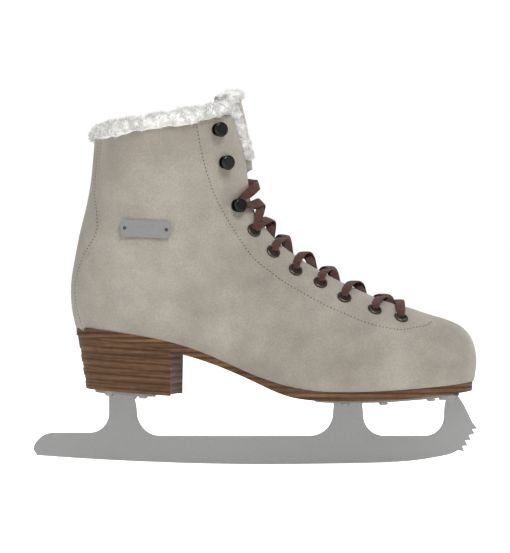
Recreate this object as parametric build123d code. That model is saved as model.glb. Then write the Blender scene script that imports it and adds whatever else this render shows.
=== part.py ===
"""A right-foot figure skate: suede boot with a fleece lining, stacked sole and heel, and a steel blade.

Frame, in millimetres: +X towards the toe, +Y towards the inner (medial) side of the foot, +Z up.
The origin is the point of the blade's rocker that touches the ice, on the blade's centre plane.
The blade unit is measured by its mounting length, from the back of the heel plate to the front of the
sole plate: 236 mm, which carries a boot 263 mm long.
"""
from build123d import *
import math
import os

import numpy as np

# ------------------------------------------------------------------ driving dimensions
BLADE_T = 4.0                 # blade thickness
RUNNER_H = 18.4               # height of the runner between the stanchions
GROUND_BAND_H = 12.0          # height of the band ground flat along the runner, where a holder grips it
GROUND_BAND_DEPTH = 0.05
ROCKER_R = 2000.0             # radius of the blade's bottom edge
TAIL_X = -156.0               # back end of the blade
PLATE_T = 2.0                 # mounting plates
LEATHER_T = 2.0               # suede upper
LINING_T = 3.6                # fleece lining
LAYER_GAP = 1.0               # padding and glue between the leather and the lining
FOOTBED_T = 7.0               # insole board and footbed
TONGUE_T = 4.0                # tongue shell with its foam
TONGUE_FLEECE_T = 3.2
LIFT_COUNT = 7                # lifts in the heel stack
LIFT_H = 4.3
LIFT_SLOPE_DEG = 4.4          # the lifts fall towards the toe
EYELET_R = 4.7                # outer radius of an eyelet's flange
EYELET_BORE_R = 2.8
HOOK_HEAD_R = 4.8
LACE_W = 6.4
LACE_T = 1.2
FUR_H = 8.0                   # height of the fleece roll above the boot's top edge
FUR_PROUD = 3.0               # how far the roll stands out from the leather
TONGUE_GAP = 1.2              # clearance between the tongue's free end and the facings' edges
STRIP_T = 1.1                 # back strip
SEAT = 0.6                    # gap left under eyelets and hooks on the curved leather
SCREW_R = 1.7                 # mounting screws
SCREW_HEAD_R = 3.4

LINING_IN = LEATHER_T + LAYER_GAP
CAVITY_IN = LINING_IN + LINING_T
TONGUE_IN = LINING_IN + 2.0   # leaves room for the lace between the facing and the tongue

# ------------------------------------------------------------------ outlines in the X-Z plane
SCREW_IN = 5.5                # how far the front screws go into the sole
HEEL_SCREW_IN = 19.0
SOLE_SCREWS = [(47.0, 14.5), (47.0, -14.5), (71.7, 20.0), (71.7, -20.0), (102.5, 17.5), (102.5, -17.5)]
HEEL_SCREWS = [(-106.0, 12.5), (-106.0, -12.5), (-84.0, 13.0), (-84.0, -13.0)]
HEEL_MID_X, HEEL_MID_Z = -94.0, 47.8     # middle of the heel's underside
HEEL_BREAST_X = -64.0
HEEL_BOSS_X = -97.9
BOSS_D = 3.0
SOLE_BOSSES = [(49.4, 20.0, 9.0), (114.5, 12.0, 8.0)]
SOLE_PLATE_WIDTHS = [(27.4, 0.0), (30.0, 12.0), (40.0, 19.5), (56.0, 22.0), (74.0, 26.0), (92.0, 25.0),
                     (108.0, 21.0),
                     (118.5, 11.0), (121.0, 0.0)]
HEEL_PLATE_WIDTHS = [(-116.0, 0.0), (-113.5, 11.0), (-105.0, 18.0), (-94.0, 19.0), (-84.0, 18.5),
                     (-78.0, 12.0),
                     (-76.0, 0.0)]
TAIL_H = 20.4
HEEL_POST = (-107.0, -88.75)
BLADE_OPENINGS = [(-88.75, 39.6, 15.5, 15.0), (59.3, 112.3, 14.0, 12.5)]
TOE_EDGE = [(96.6, 3.0), (109.7, 5.2), (116.8, 6.9),
            (121.4, 9.2)]     # the blade's bottom, behind the picks
TOE_PICKS = [(125.4, 8.3), (124.1, 11.9), (127.6, 12.2), (126.0, 15.6), (129.9, 15.9), (128.3, 18.9),
             (132.2, 20.0),
             (130.6, 22.9), (134.1, 23.3)]
FRONT_EDGE = [(130.8, 27.3), (127.7, 34.0), (124.1, 40.7), (120.1, 46.1)]
EYELETS = [(-12.2, 152.6), (0.3, 138.9), (14.7, 127.1), (30.8, 118.9), (46.2, 109.4), (65.8, 101.5),
           (82.9, 96.3)]
EYELET_H = 0.9
HOOKS = [(-35.7, 217.2), (-31.4, 196.4), (-23.7, 168.8)]
HOOK_BASE_R, HOOK_NECK = 4.2, 4.4
BADGE_X, BADGE_Z, BADGE_L, BADGE_W, BADGE_TILT_DEG, BADGE_RIVET_R = -81.5, 153.3, 32.0, 11.0, 2.5, 1.1
BADGE_T = 1.0
LACE_UP = 3.1                 # height of the lace's middle over the facing
LACE_DOWN = 3.5               # its depth where it runs behind the facing

# Front of the boot, from the tip of the toe over the instep to above the collar.
FRONT_LINE = [(134.0, 69.0), (132.8, 77.0), (129.6, 84.3), (124.0, 90.2), (114.0, 94.8), (104.0, 97.6),
              (92.0, 101.6), (68.0, 110.8), (50.0, 119.6), (32.0, 130.0), (17.5, 139.6), (5.0, 149.8),
              (-4.0, 161.0), (-9.6, 173.0), (-12.0, 187.0), (-13.4, 203.0), (-16.0, 221.0), (-20.0, 238.0),
              (-24.0, 254.0)]
# Underside and back of the lasted body. The underside runs below the sole line, which trims it.
REAR_LINE = [(134.0, 69.0), (133.3, 62.0), (129.0, 50.0), (110.0, 42.0), (50.0, 39.0), (24.0, 39.5),
             (-2.0, 45.5), (-42.0, 61.0), (-81.0, 70.5), (-108.0, 74.0), (-121.5, 78.0), (-127.0, 88.0),
             (-130.4, 104.0), (-130.6, 120.0), (-128.0, 136.0), (-124.8, 152.0), (-120.8, 168.0),
             (-117.8, 184.0), (-116.2, 200.0), (-115.0, 215.0), (-114.0, 232.0)]
# Where the upper meets the sole, and the sole's underside.
SOLE_TOP = [(-136.0, 91.6), (-104.5, 87.4), (-70.9, 81.6), (-41.1, 73.0), (-2.3, 57.8), (23.6, 51.8),
            (50.0, 51.0), (82.0, 52.3), (108.0, 54.3), (140.0, 57.6)]
SOLE_BOTTOM = [(-136.0, 85.6), (-104.5, 81.4), (-70.9, 75.6), (-41.1, 67.2), (-8.8, 53.4), (10.0, 45.6),
               (30.0, 43.0), (50.0, 42.9), (69.0, 43.4), (95.0, 45.2), (140.0, 49.4)]

TOE_TIP = 134.0
PIVOT_X, PIVOT_Z = 11.5, 189.0     # the section planes of the ankle fan out from this line
COLLAR_H = 44.0                    # height of the top edge above the pivot, along the pivot line
COLLAR_TILT_DEG = 9.0              # the top edge rises towards the shin
FOOT_START = -(TOE_TIP - PIVOT_X)    # station of the tip of the toe
FAN_END = 90.0                     # station where the sections lie flat
COLLAR = FAN_END + COLLAR_H        # station of the boot's top edge
TOP_END = COLLAR + 14.0            # last station, above the collar
NOSE_LENGTH = 40.0            # length of the rounded front of the toe box


# ------------------------------------------------------------------ small helpers
def through(pairs):
    """A smooth function through (key, value) pairs that never overshoots them."""
    x, y = np.array(pairs, float).T
    slope = np.diff(y) / np.diff(x)
    tangent = np.concatenate([[slope[0]], (slope[1:] + slope[:-1]) / 2, [slope[-1]]])
    for i, s in enumerate(slope):
        for j in (i, i + 1):
            tangent[j] = 0.0 if tangent[j] * s <= 0 else math.copysign(min(abs(tangent[j]), 3 * abs(s)), s)

    def value(at):
        i = int(np.clip(np.searchsorted(x, at) - 1, 0, len(slope) - 1))
        h = x[i + 1] - x[i]
        t = min(max((at - x[i]) / h, 0.0), 1.0)
        return float((1 + 2 * t) * (1 - t) ** 2 * y[i] + t * (1 - t) ** 2 * h * tangent[i]
                     + t * t * (3 - 2 * t) * y[i + 1] + t * t * (t - 1) * h * tangent[i + 1])
    return value


def sampled(points, count=900):
    """A dense polyline along the smooth curve through the points."""
    curve = Spline(*[(x, 0, z) for x, z in points])
    return np.array([[p.X, p.Z] for p in (curve @ (i / count) for i in range(count + 1))])


def extruded_outline(wire_points, half_width):
    """The region inside a closed X-Z polyline, extruded to +-half_width in Y."""
    face = make_face(Polyline(*[(x, 0, z) for x, z in wire_points], close=True))
    return extrude(face, half_width, dir=(0, 1, 0), both=True)


def band(low, high, half_width=70.0):
    """The space between two X-Z curves that run in the same direction, extruded across the boot."""
    low_edge = Spline(*[(x, 0, z) for x, z in low])
    high_edge = Spline(*[(x, 0, z) for x, z in high])
    back = Line(low_edge @ 0, high_edge @ 0)
    front = Line(low_edge @ 1, high_edge @ 1)
    return extrude(make_face([low_edge, front, high_edge, back]), half_width, dir=(0, 1, 0), both=True)


def raised(line, by):
    return [(x, z + by) for x, z in line]


def largest(shape):
    """The biggest solid of a shape, without the slivers a trim can leave."""
    return max(shape.solids(), key=lambda solid: solid.volume)


# ------------------------------------------------------------------ the shape of the last
front_curve = sampled(FRONT_LINE)
rear_curve = sampled(REAR_LINE)
sole_curve = sampled(SOLE_TOP)
sole_bottom_curve = sampled(SOLE_BOTTOM)
half_width = through([(FOOT_START, 40.0), (-90.0, 40.5), (-66.0, 43.5), (-48.0, 43.0), (-28.0, 39.5),
                      (0.0, 35.5),
                      (20.0, 34.5), (45.0, 34.5), (70.0, 35.0), (FAN_END, 36.0), (COLLAR, 40.0),
                      (TOP_END, 41.0)])
centre_y = through([(FOOT_START, 7.0), (-90.0, 4.0), (-40.0, -1.0), (0.0, -1.5), (45.0, 0.0),
                    (TOP_END, 0.0)])
widest_at = through([(FOOT_START, 0.62), (-90.0, 0.66), (-30.0, 0.66), (0.0, 0.60), (45.0, 0.52),
                     (TOP_END, 0.52)])
front_power = through([(FOOT_START, 2.2), (-60.0, 2.1), (0.0, 1.9), (FAN_END, 2.0), (TOP_END, 2.1)])
rear_power = through([(FOOT_START, 3.0), (-100.0, 4.0), (-30.0, 4.0), (0.0, 3.2), (30.0, 2.5),
                      (TOP_END, 2.3)])


# How much a section narrows towards the instep's ridge.
lean = through([(FOOT_START, 0.0), (-95.0, 0.06), (-70.0, 0.24), (-20.0, 0.30), (30.0, 0.28), (60.0, 0.22),
                (FAN_END, 0.12), (COLLAR, 0.0), (TOP_END, 0.0)])


def station_frame(s):
    """Origin and direction, front to back, of the section plane at a station.

    Below 0 the planes are upright and s counts back from the pivot; up to FAN_END they turn about the
    pivot by s degrees; above it they climb the shaft and tilt to match the top edge.
    """
    if s <= 0:
        return np.array([PIVOT_X - s, PIVOT_Z]), np.array([0.0, -1.0])
    if s <= FAN_END:
        a = math.radians(s)
        return np.array([PIVOT_X, PIVOT_Z]), np.array([-math.sin(a), -math.cos(a)])
    rise = s - FAN_END
    tilt = math.radians(COLLAR_TILT_DEG) * min(rise / COLLAR_H, 1.0)
    return np.array([PIVOT_X, PIVOT_Z + rise]), np.array([-math.cos(tilt), -math.sin(tilt)])


def crossing(curve, origin, direction):
    """Distance from the origin, along the direction, at which the line meets the curve."""
    offset = curve - origin
    side = offset[:, 0] * direction[1] - offset[:, 1] * direction[0]
    hits = np.nonzero(side[:-1] * side[1:] <= 0)[0]
    along = []
    for i in hits:
        t = side[i] / (side[i] - side[i + 1]) if side[i] != side[i + 1] else 0.0
        along.append(float((offset[i] + t * (offset[i + 1] - offset[i])) @ direction))
    return min(a for a in along if a > 0)


def nose_at(x):
    """How far round the toe's nose a plane is: 0 at its start, 1 at the tip."""
    return max(0.0, (x - (TOE_TIP - NOSE_LENGTH)) / NOSE_LENGTH)


def moved_forward(x, inset):
    """X whose section, moved back by the inset's share along X, lands on the plane at x."""
    ahead = x
    for _ in range(30):
        ahead = min(x + inset * nose_at(ahead) ** 2, TOE_TIP - 0.05)
    return ahead


def section(s, inset=0.0):
    """A section's plane, its front, widest and rear distances, half width and powers."""
    plane_origin, direction = station_frame(s)
    origin = plane_origin
    nose = nose_at(origin[0]) if s < 0 else 0.0
    if nose > 0:
        origin = np.array([moved_forward(origin[0], inset), origin[1]])
        nose = nose_at(origin[0])
        inset *= math.sqrt(max(1 - nose ** 4, 0.0))
    front = crossing(front_curve, origin, direction)
    rear = crossing(rear_curve, origin, direction)
    widest = front + widest_at(s) * (rear - front)
    half = half_width(s) * (1 - nose ** 2.2) ** (1 / 2.2)
    return (plane_origin, direction, front + inset, widest, rear - inset, half - inset, front_power(s),
            rear_power(s))


def ring_point(cut, s, angle):
    """A point on a section's edge. Angle 0 is the front, 180 the rear, 90 the medial side."""
    origin, direction, front, widest, rear, half, front_n, rear_n = cut
    a = math.radians(angle)
    c, d = math.cos(a), math.sin(a)
    n, reach = (front_n, widest - front) if c >= 0 else (rear_n, rear - widest)
    along = widest - math.copysign(abs(c) ** (2 / n), c) * reach
    across = math.copysign(abs(d) ** (2 / n), d) * half
    if c > 0:
        across *= 1 - lean(s) * c ** (4 / n)
    x, z = origin + direction * along
    return Vector(x, centre_y(s) + across, z)


HINGE = 97.0                       # station where the tongue's free end bends
THROAT_END = FOOT_START + 42.5     # station of the throat's lower end
STATIONS = ([FOOT_START + step for step in (0.15, 1.5, 5.0, 12.0, 24.0)] + [THROAT_END, THROAT_END + 8.0,
                                                                            -50.0]
            + [-24.0, 0.0, 18.0, 32.0, 44.0, 56.0, 72.0, FAN_END, HINGE, 114.0, COLLAR])
RING_POINTS = 14
ARC_POINTS = 9
TONGUE_ROOT = THROAT_END - 10.0    # station where the tongue is stitched under the vamp
TONGUE_TOP = COLLAR + 13.0
throat_half = through([(THROAT_END, 0.0), (THROAT_END + 8.0, 9.0), (-58.0, 10.0), (0.0, 10.0), (60.0, 10.5),
                       (HINGE, 13.5), (118.0, 19.0), (COLLAR, 23.0), (TOP_END, 25.0)])
strip_half = through([(35.0, 16.0), (52.0, 18.0), (61.0, 19.0), (68.0, 24.0), (76.0, 27.0), (FAN_END, 20.0),
                      (COLLAR, 19.0)])


def full_ring(s, inset):
    """The whole section at a station as a closed wire."""
    cut = section(s, inset)
    ring = [ring_point(cut, s, 360.0 * k / RING_POINTS) for k in range(RING_POINTS)]
    return Wire(Spline(*ring, ring[0], tangents=[(0, 1, 0), (0, 1, 0)]))


def last(inset):
    """The closed body of the boot, its walls moved in by inset."""
    return Solid.make_loft([full_ring(s, inset) for s in STATIONS])


def bisect(f, low, high):
    """Root of f between low and high, where f(low) > 0 > f(high)."""
    for _ in range(40):
        middle = (low + high) / 2
        if f(middle) > 0:
            low = middle
        else:
            high = middle
    return (low + high) / 2


def front_angle(cut, s, y):
    """Angle on the front half of a section where the surface is y away from the middle."""
    return bisect(lambda a: y - ring_point(cut, s, a).Y + centre_y(s), 0.0, 90.0)


def rear_angle(cut, y):
    """Angle on the rear half of a section where the surface is y away from the centre plane."""
    share = min(max(y / cut[5], 0.0), 1.0)
    return 180.0 - math.degrees(math.asin(share ** (cut[7] / 2)))


def arc_points(cut, s, first, last_angle, count):
    """Evenly spaced points of a section between two angles."""
    angles = np.linspace(first, last_angle, 73)
    points = [ring_point(cut, s, a) for a in angles]
    steps = [(q - p).length for p, q in zip(points, points[1:])]
    along = np.concatenate([[0.0], np.cumsum(steps)])
    even = np.interp(np.linspace(0.0, along[-1], count), along, angles)
    return [ring_point(cut, s, a) for a in even]


def layer_ring(s, outer, inner, start, stop, count):
    """A slice of a layer between two insets. start and stop give the end angles from a section."""
    cuts = [section(s, inset(s) if callable(inset) else inset) for inset in (outer, inner)]
    outside, inside = [arc_points(cut, s, start(cut), stop(cut), count) for cut in cuts]
    inside.reverse()
    return Wire([Spline(*outside), Line(outside[-1], inside[0]), Spline(*inside),
                 Line(inside[-1], outside[0])])


def layer(stations, outer, inner, start, stop, count=ARC_POINTS):
    """A layer of the boot as one solid. start and stop are functions of the station and the section."""
    rings = []
    for s in stations:
        ends = (lambda cut, s=s: start(s, cut), lambda cut, s=s: stop(s, cut))
        rings.append(layer_ring(s, outer, inner, *ends, count))
    return Solid.make_loft(rings, ruled=True)


def within(first, end, extra=()):
    """The stations of the last between two limits, with both limits and any extra ones."""
    inside = [s for s in STATIONS + list(extra) if first + 0.5 < s < end - 0.5]
    return sorted(set(inside) | {first, end})


# ------------------------------------------------------------------ trimming bodies
below_sole_top = band([(-136.0, 0.0), (0.0, 0.0), (140.0, 0.0)], SOLE_TOP)


# ------------------------------------------------------------------ the boot's upper
tongue_half = through([(TONGUE_ROOT, 8.0), (TONGUE_ROOT + 8.0, 14.0), (-50.0, 19.0), (0.0, 22.0),
                       (84.0, 22.0),
                       (91.0, 11.0), (HINGE, 11.8)])
tongue_inset = through([(TONGUE_ROOT, TONGUE_IN), (84.0, TONGUE_IN), (91.0, TONGUE_IN - 0.6), (HINGE, 0.5)])
lining_front = through([(THROAT_END, 16.0), (-50.0, 20.5), (0.0, 23.5), (COLLAR, 26.0)])


def toe_layer(outer, inner):
    """The part of a layer in front of the throat, closed round the tip of the toe."""
    joint = FOOT_START + inner + 0.4
    arch = layer(within(joint, THROAT_END), outer, inner, lambda s, cut: -178.0, lambda s, cut: 178.0)
    tip = Solid.make_loft([full_ring(s, outer) for s in (FOOT_START + outer + 0.15,
                                                         FOOT_START + (outer + inner) / 2,
                                                         joint)])
    return arch + tip


def side_layer(side, outer, inner, edge):
    """One side of a layer, from its front edge round to the back seam."""
    return layer(within(THROAT_END, COLLAR), outer, inner,
                 lambda s, cut: side * front_angle(cut, s, edge(s)), lambda s, cut: side * 180.0)


def build_vamp():
    """Suede over the toes, up to the end of the throat."""
    return toe_layer(0.0, LEATHER_T) - below_sole_top


def build_quarter(side):
    """Suede round one side of the foot and ankle."""
    return side_layer(side, 0.0, LEATHER_T, throat_half) - below_sole_top


def build_side_lining(side):
    """Fleece lining of one side. It stops short of the facing so that the tongue lies flat."""
    return side_layer(side, LINING_IN, CAVITY_IN, lining_front) - below_sole_top


def build_back_strip():
    """Suede strip over the back seam, narrow at the top and widest above the heel."""
    body = layer(within(35.0, COLLAR), -STRIP_T, -0.05,
                 lambda s, cut: rear_angle(cut, strip_half(s)),
                 lambda s, cut: 360.0 - rear_angle(cut, strip_half(s)))
    return largest(body - below_sole_top - build_quarter(-1) - build_quarter(1))


def build_fur_collar():
    """Fleece roll that finishes the top edge, open at the throat."""
    start = COLLAR + 0.3
    return layer([start, COLLAR + FUR_H / 2, COLLAR + FUR_H], -FUR_PROUD, CAVITY_IN,
                 lambda s, cut: front_angle(cut, s, throat_half(s) + 1.0),
                 lambda s, cut: 360.0 - front_angle(cut, s, throat_half(s) + 1.0))


def build_lower_tongue(depth, thickness):
    """A layer of the tongue up to the hinge line, depth below its outer face."""
    return layer(within(TONGUE_ROOT, HINGE - 0.4, (84.0, 91.0)), lambda s: tongue_inset(s) + depth,
                 lambda s: tongue_inset(s) + depth + thickness,
                 lambda s, cut: -front_angle(cut, s, tongue_half(s)),
                 lambda s, cut: front_angle(cut, s, tongue_half(s)),
                 11)


def build_free_tongue(depth, thickness, narrower):
    """A layer of the tongue's free end, which passes between the facings and rounds off at the top."""
    def half(s):
        rounding = max(s - COLLAR, 0.0) / (TONGUE_TOP - COLLAR)
        return (throat_half(s) - TONGUE_GAP - narrower) * (1 - 0.4 * rounding ** 2)
    return layer(within(HINGE, TONGUE_TOP, (COLLAR + 5.0, COLLAR + 9.0)), 0.5 + depth,
                 0.5 + depth + thickness, lambda s, cut: -front_angle(cut, s, half(s)),
                 lambda s, cut: front_angle(cut, s, half(s)), 9)


# ------------------------------------------------------------------ the sole unit
def sole_height(x):
    return float(np.interp(x, sole_curve[:, 0], sole_curve[:, 1]))


def height_over_sole(cut, s, angle):
    p = ring_point(cut, s, angle)
    return p.Z - sole_height(p.X)


def feather_point(s, side, grow):
    """Where the upper meets the sole at a station, moved out by grow."""
    cut = section(s, -grow)
    angle = bisect(lambda a: height_over_sole(cut, s, a), 95.0, 180.0)
    return ring_point(cut, s, side * angle)


def feather_outline(grow, z):
    """Plan outline of the boot at the sole line, as a closed wire at height z."""
    heel_end = bisect(lambda s: -height_over_sole(section(s, -grow), s, 180.0), 30.0, 60.0)
    toe_end = bisect(lambda s: height_over_sole(section(s, -grow), s, 180.0), FOOT_START, -100.0)
    stations = ([toe_end + step for step in (0.4, 2.0, 6.0, 13.0, 24.0)] + [-78.0, -58.0, -38.0, -18.0, 0.0]
                + [heel_end - step for step in (26.0, 17.0, 10.0, 5.0, 2.0, 0.4)])
    lateral = [feather_point(s, -1, grow) for s in stations]
    medial = [feather_point(s, 1, grow) for s in reversed(stations)]
    heel = ring_point(section(heel_end, -grow), heel_end, 180.0)
    toe = ring_point(section(toe_end, -grow), toe_end, 180.0)
    points = [toe] + lateral + [heel] + medial
    flat = [(p.X, p.Y, z) for p in points]
    return Wire(Spline(*flat, flat[0], tangents=[(0, -1, 0), (0, -1, 0)]))


def lowered(line, by):
    return raised(line, -by)


def drilled(part, holes):
    """The part with a round hole in it for each (plane, radius, depth)."""
    return part - [plane * Cylinder(radius, 2 * depth) for plane, radius, depth in holes]


def build_outsole():
    """Full-length stacked sole with a slightly undercut edge."""
    body = Solid.make_loft([feather_outline(-2.0, 35.0), feather_outline(0.9, 95.0)])
    body = body & band(SOLE_BOTTOM, SOLE_TOP)
    return drilled(body, [(Pos(x, y, 0), SCREW_R, sole_bottom_height(x) + SCREW_IN) for x,
                          y in SOLE_SCREWS])


def build_footbed():
    """Insole board and foam footbed."""
    body = last(CAVITY_IN + 0.8) & band(raised(SOLE_TOP, 0.1), raised(SOLE_TOP, FOOTBED_T))
    return largest(body - build_side_lining(-1) - build_side_lining(1))


def sole_bottom_height(x):
    return float(np.interp(x, sole_bottom_curve[:, 0], sole_bottom_curve[:, 1]))


def heel_plane(height):
    """Plane parallel to the lifts, height above the heel's underside."""
    slope = math.radians(LIFT_SLOPE_DEG)
    return Plane(origin=(HEEL_MID_X, 0, HEEL_MID_Z), x_dir=(math.cos(slope), 0, -math.sin(slope)),
                 z_dir=(math.sin(slope), 0, math.cos(slope))).offset(height)


def heel_outline(grow, length_share, width_share, breast_x, z):
    """Plan outline of the heel: the boot's back end, closed by a slightly hollow breast."""
    heel_end = bisect(lambda s: -height_over_sole(section(s, -grow), s, 180.0), 30.0, 60.0)
    rear = [43.0, 47.0, heel_end - 4.0, heel_end - 1.5, heel_end - 0.3]
    heel = ring_point(section(heel_end, -grow), heel_end, 180.0)
    lateral = [feather_point(s, -1, grow) for s in [35.6, 39.0] + rear]
    medial = [feather_point(s, 1, grow) for s in reversed([32.6, 38.0] + rear)]
    points = []
    for p in lateral + [heel] + medial:
        points.append((breast_x + (p.X - breast_x) * length_share, p.Y * width_share, z))
    lateral_end, medial_end = points[0], points[-1]
    middle = ((lateral_end[0] + medial_end[0]) / 2 - 3.0, 0.0, z)
    return Wire([Spline(*points), ThreePointArc(medial_end, middle, lateral_end)])


def build_heel_lifts():
    """The stack of lifts. Every other one stands out a little, which gives the stack its ridges."""
    stacks = []
    for proud in (0.9, 0.4):
        stacks.append(Solid.make_loft([heel_outline(proud, 0.87, 0.90, HEEL_BREAST_X, 40.0),
                                       heel_outline(proud, 1.0, 1.0, HEEL_BREAST_X, 92.0)]))
    holes = heel_screw_holes()
    under_sole = band([(-136.0, 0.0), (0.0, 0.0), (140.0, 0.0)], SOLE_BOTTOM)
    lifts = []
    for k in range(LIFT_COUNT):
        is_top = k == LIFT_COUNT - 1
        height = 30.0 if is_top else LIFT_H
        slab = heel_plane(k * LIFT_H + height / 2) * Box(200, 200, height)
        lift = stacks[k % 2] & slab
        if is_top:
            lift = lift & under_sole
        lifts.append(drilled(lift, holes).solid())
    return lifts


# ------------------------------------------------------------------ the blade unit
def heel_screw_holes():
    return [(heel_plane(0) * Pos(x - HEEL_MID_X, y, 0), SCREW_R, HEEL_SCREW_IN) for x, y in HEEL_SCREWS]


def build_blade():
    """Runner, tail, toe picks and three stanchions, cut from one sheet."""
    rocker = [(x, 0.0, x * x / (2 * ROCKER_R)) for x in (TAIL_X + 2.0, -120.0, -60.0, 0.0, 50.0, 83.5)]
    toe = [(x, 0.0, z) for x, z in TOE_EDGE]
    front = [(x, 0.0, z) for x, z in FRONT_EDGE]
    teeth = [(x, 0.0, z) for x, z in TOE_PICKS]
    tail_top = (TAIL_X + 12.0, 0.0, TAIL_H)
    edges = [Spline(*rocker, *toe), Polyline(toe[-1], *teeth, front[0]), Spline(*front),
             Polyline(front[-1], (front[-1][0], 0.0, 70.0), (HEEL_POST[0], 0.0, 70.0),
                      (HEEL_POST[0], 0.0, TAIL_H + 13.0)),
             TangentArc((HEEL_POST[0], 0.0, TAIL_H + 13.0), (HEEL_POST[0] - 13.0, 0.0, TAIL_H),
                        tangent=(0, 0, -1)),
             Line((HEEL_POST[0] - 13.0, 0.0, TAIL_H), tail_top),
             Spline(tail_top, (TAIL_X + 5.0, 0.0, TAIL_H - 2.2), (TAIL_X, 0.0, 9.0), rocker[0],
                    tangents=[(-1, 0, -0.06), (0.35, 0, -1)])]
    body = extrude(make_face(edges), amount=BLADE_T / 2, dir=(0, 1, 0), both=True)
    for left, right, left_r, right_r in BLADE_OPENINGS:
        body -= blade_opening(left, right, left_r, right_r)
    under_sole_plate = band([(20.0, -5.0), (70.0, -5.0), (140.0, -5.0)], lowered(SOLE_BOTTOM, PLATE_T))
    under_heel_plate = heel_plane(-PLATE_T - 60.0) * Box(300, 200, 120)
    front_half = body & Pos(100.0, 0, 50.0) * Box(160.0, 50, 120) & under_sole_plate
    rear_half = body & Pos(-80.0, 0, 50.0) * Box(200.0, 50, 120) & under_heel_plate
    return front_half + rear_half - ground_bands()


def ground_bands():
    """The thin slices ground off both sides of the runner's lower edge."""
    return [Pos(-10.0, side * BLADE_T / 2, 0) * Box(400.0, 2 * GROUND_BAND_DEPTH, 2 * GROUND_BAND_H)
            for side in (-1, 1)]


def blade_opening(left, right, left_r, right_r):
    """Opening between two stanchions, with rounded lower corners and stanchions that flare at the top."""
    flare = 3.0
    outline = [Line((left - flare, 0, 75.0), (left - flare, 0, 48.0)),
               Spline((left - flare, 0, 48.0), (left - 0.8, 0, 40.0), (left, 0, 33.0),
                      tangents=[(0.3, 0, -1), (0, 0, -1)]),
               Line((left, 0, 33.0), (left, 0, RUNNER_H + left_r)),
               TangentArc((left, 0, RUNNER_H + left_r), (left + left_r, 0, RUNNER_H), tangent=(0, 0, -1)),
               Line((left + left_r, 0, RUNNER_H), (right - right_r, 0, RUNNER_H)),
               TangentArc((right - right_r, 0, RUNNER_H), (right, 0, RUNNER_H + right_r),
                          tangent=(1, 0, 0)),
               Line((right, 0, RUNNER_H + right_r), (right, 0, 33.0)),
               Spline((right, 0, 33.0), (right + 0.8, 0, 40.0), (right + flare, 0, 48.0),
                      tangents=[(0, 0, 1), (0.3, 0, 1)]),
               Line((right + flare, 0, 48.0), (right + flare, 0, 75.0)),
               Line((right + flare, 0, 75.0), (left - flare, 0, 75.0))]
    return extrude(make_face(outline), amount=BLADE_T, dir=(0, 1, 0), both=True)


def plate_outline(half_widths):
    """Plan face of a mounting plate from (x, half width) pairs, rounded at both ends."""
    upper = Spline(*half_widths, tangents=[(0, 1), (0, -1)])
    return make_face([upper, mirror(upper, about=Plane.XZ)])


def boss(x, length, width, top, depth):
    """Oval boss under a plate, narrower at its foot."""
    wide = Pos(x, 0, top) * Ellipse(length / 2 + 2.0, width / 2 + 1.5)
    foot = Pos(x, 0, top - depth) * Ellipse(length / 2, width / 2)
    return loft([foot.face(), wide.face()])


def screw(head_radius, head_height, radius, length):
    """Countersunk-looking screw with a low domed head below the plane and its shank above it."""
    head = Cone(head_radius * 0.62, head_radius, head_height, align=(Align.CENTER, Align.CENTER, Align.MAX))
    shank = Cylinder(radius, length, align=(Align.CENTER, Align.CENTER, Align.MIN))
    slot = Pos(0, 0, -head_height) * Box(head_radius * 1.1, 0.8, 1.2)
    other_slot = Pos(0, 0, -head_height) * Box(0.8, head_radius * 1.1, 1.2)
    return head + shank - slot - other_slot


def build_sole_plate():
    """Front mounting plate, bent to the sole, with a boss round each stanchion's top."""
    blank = extrude(Pos(0, 0, 20.0) * plate_outline(SOLE_PLATE_WIDTHS), amount=60.0)
    plate = blank & band(lowered(SOLE_BOTTOM, PLATE_T), SOLE_BOTTOM)
    under = band([(20.0, -5.0), (70.0, -5.0), (140.0, -5.0)], lowered(SOLE_BOTTOM, PLATE_T - 0.4))
    for x, length, width in SOLE_BOSSES:
        plate += boss(x, length, width, sole_bottom_height(x) + 2.0, BOSS_D + PLATE_T + 2.0) & under
    plate -= blade_slot(under_sole_slot=True)
    return drilled(plate, [(Pos(x, y, 0), SCREW_R, 90.0) for x, y in SOLE_SCREWS])


def blade_slot(under_sole_slot):
    """Room for the stanchions' tops inside a plate's bosses."""
    if under_sole_slot:
        low = band([(20.0, -5.0), (70.0, -5.0), (140.0, -5.0)], lowered(SOLE_BOTTOM, PLATE_T))
        return Pos(75.0, 0, 30.0) * Box(100.0, BLADE_T, 60.0) & low
    return heel_plane(-PLATE_T - 20.0) * Box(60.0, BLADE_T, 40.0)


def build_heel_plate():
    """Rear mounting plate under the heel."""
    plate = heel_plane(-PLATE_T) * extrude(Pos(-HEEL_MID_X, 0, 0) * plate_outline(HEEL_PLATE_WIDTHS),
                                           amount=PLATE_T)
    body = heel_plane(-PLATE_T) * Pos(HEEL_BOSS_X - HEEL_MID_X, 0, 0) * boss(0.0, 19.0, 9.0, 0.4,
                                                                             BOSS_D + 0.4)
    body -= blade_slot(under_sole_slot=False)
    return drilled(plate + body, heel_screw_holes())


def build_sole_screws():
    screws = []
    for x, y in SOLE_SCREWS:
        z = sole_bottom_height(x)
        low = Pos(x, y, z - PLATE_T - 0.4) * screw(SCREW_HEAD_R, 1.5, SCREW_R, PLATE_T + SCREW_IN)
        screws.append(low.solid())
    return screws


def build_heel_screws():
    screws = []
    for x, y in HEEL_SCREWS:
        where = heel_plane(-PLATE_T) * Pos(x - HEEL_MID_X, y, 0)
        screws.append((where * screw(SCREW_HEAD_R, 1.5, SCREW_R, PLATE_T + HEEL_SCREW_IN - 0.5)).solid())
    return screws


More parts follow.
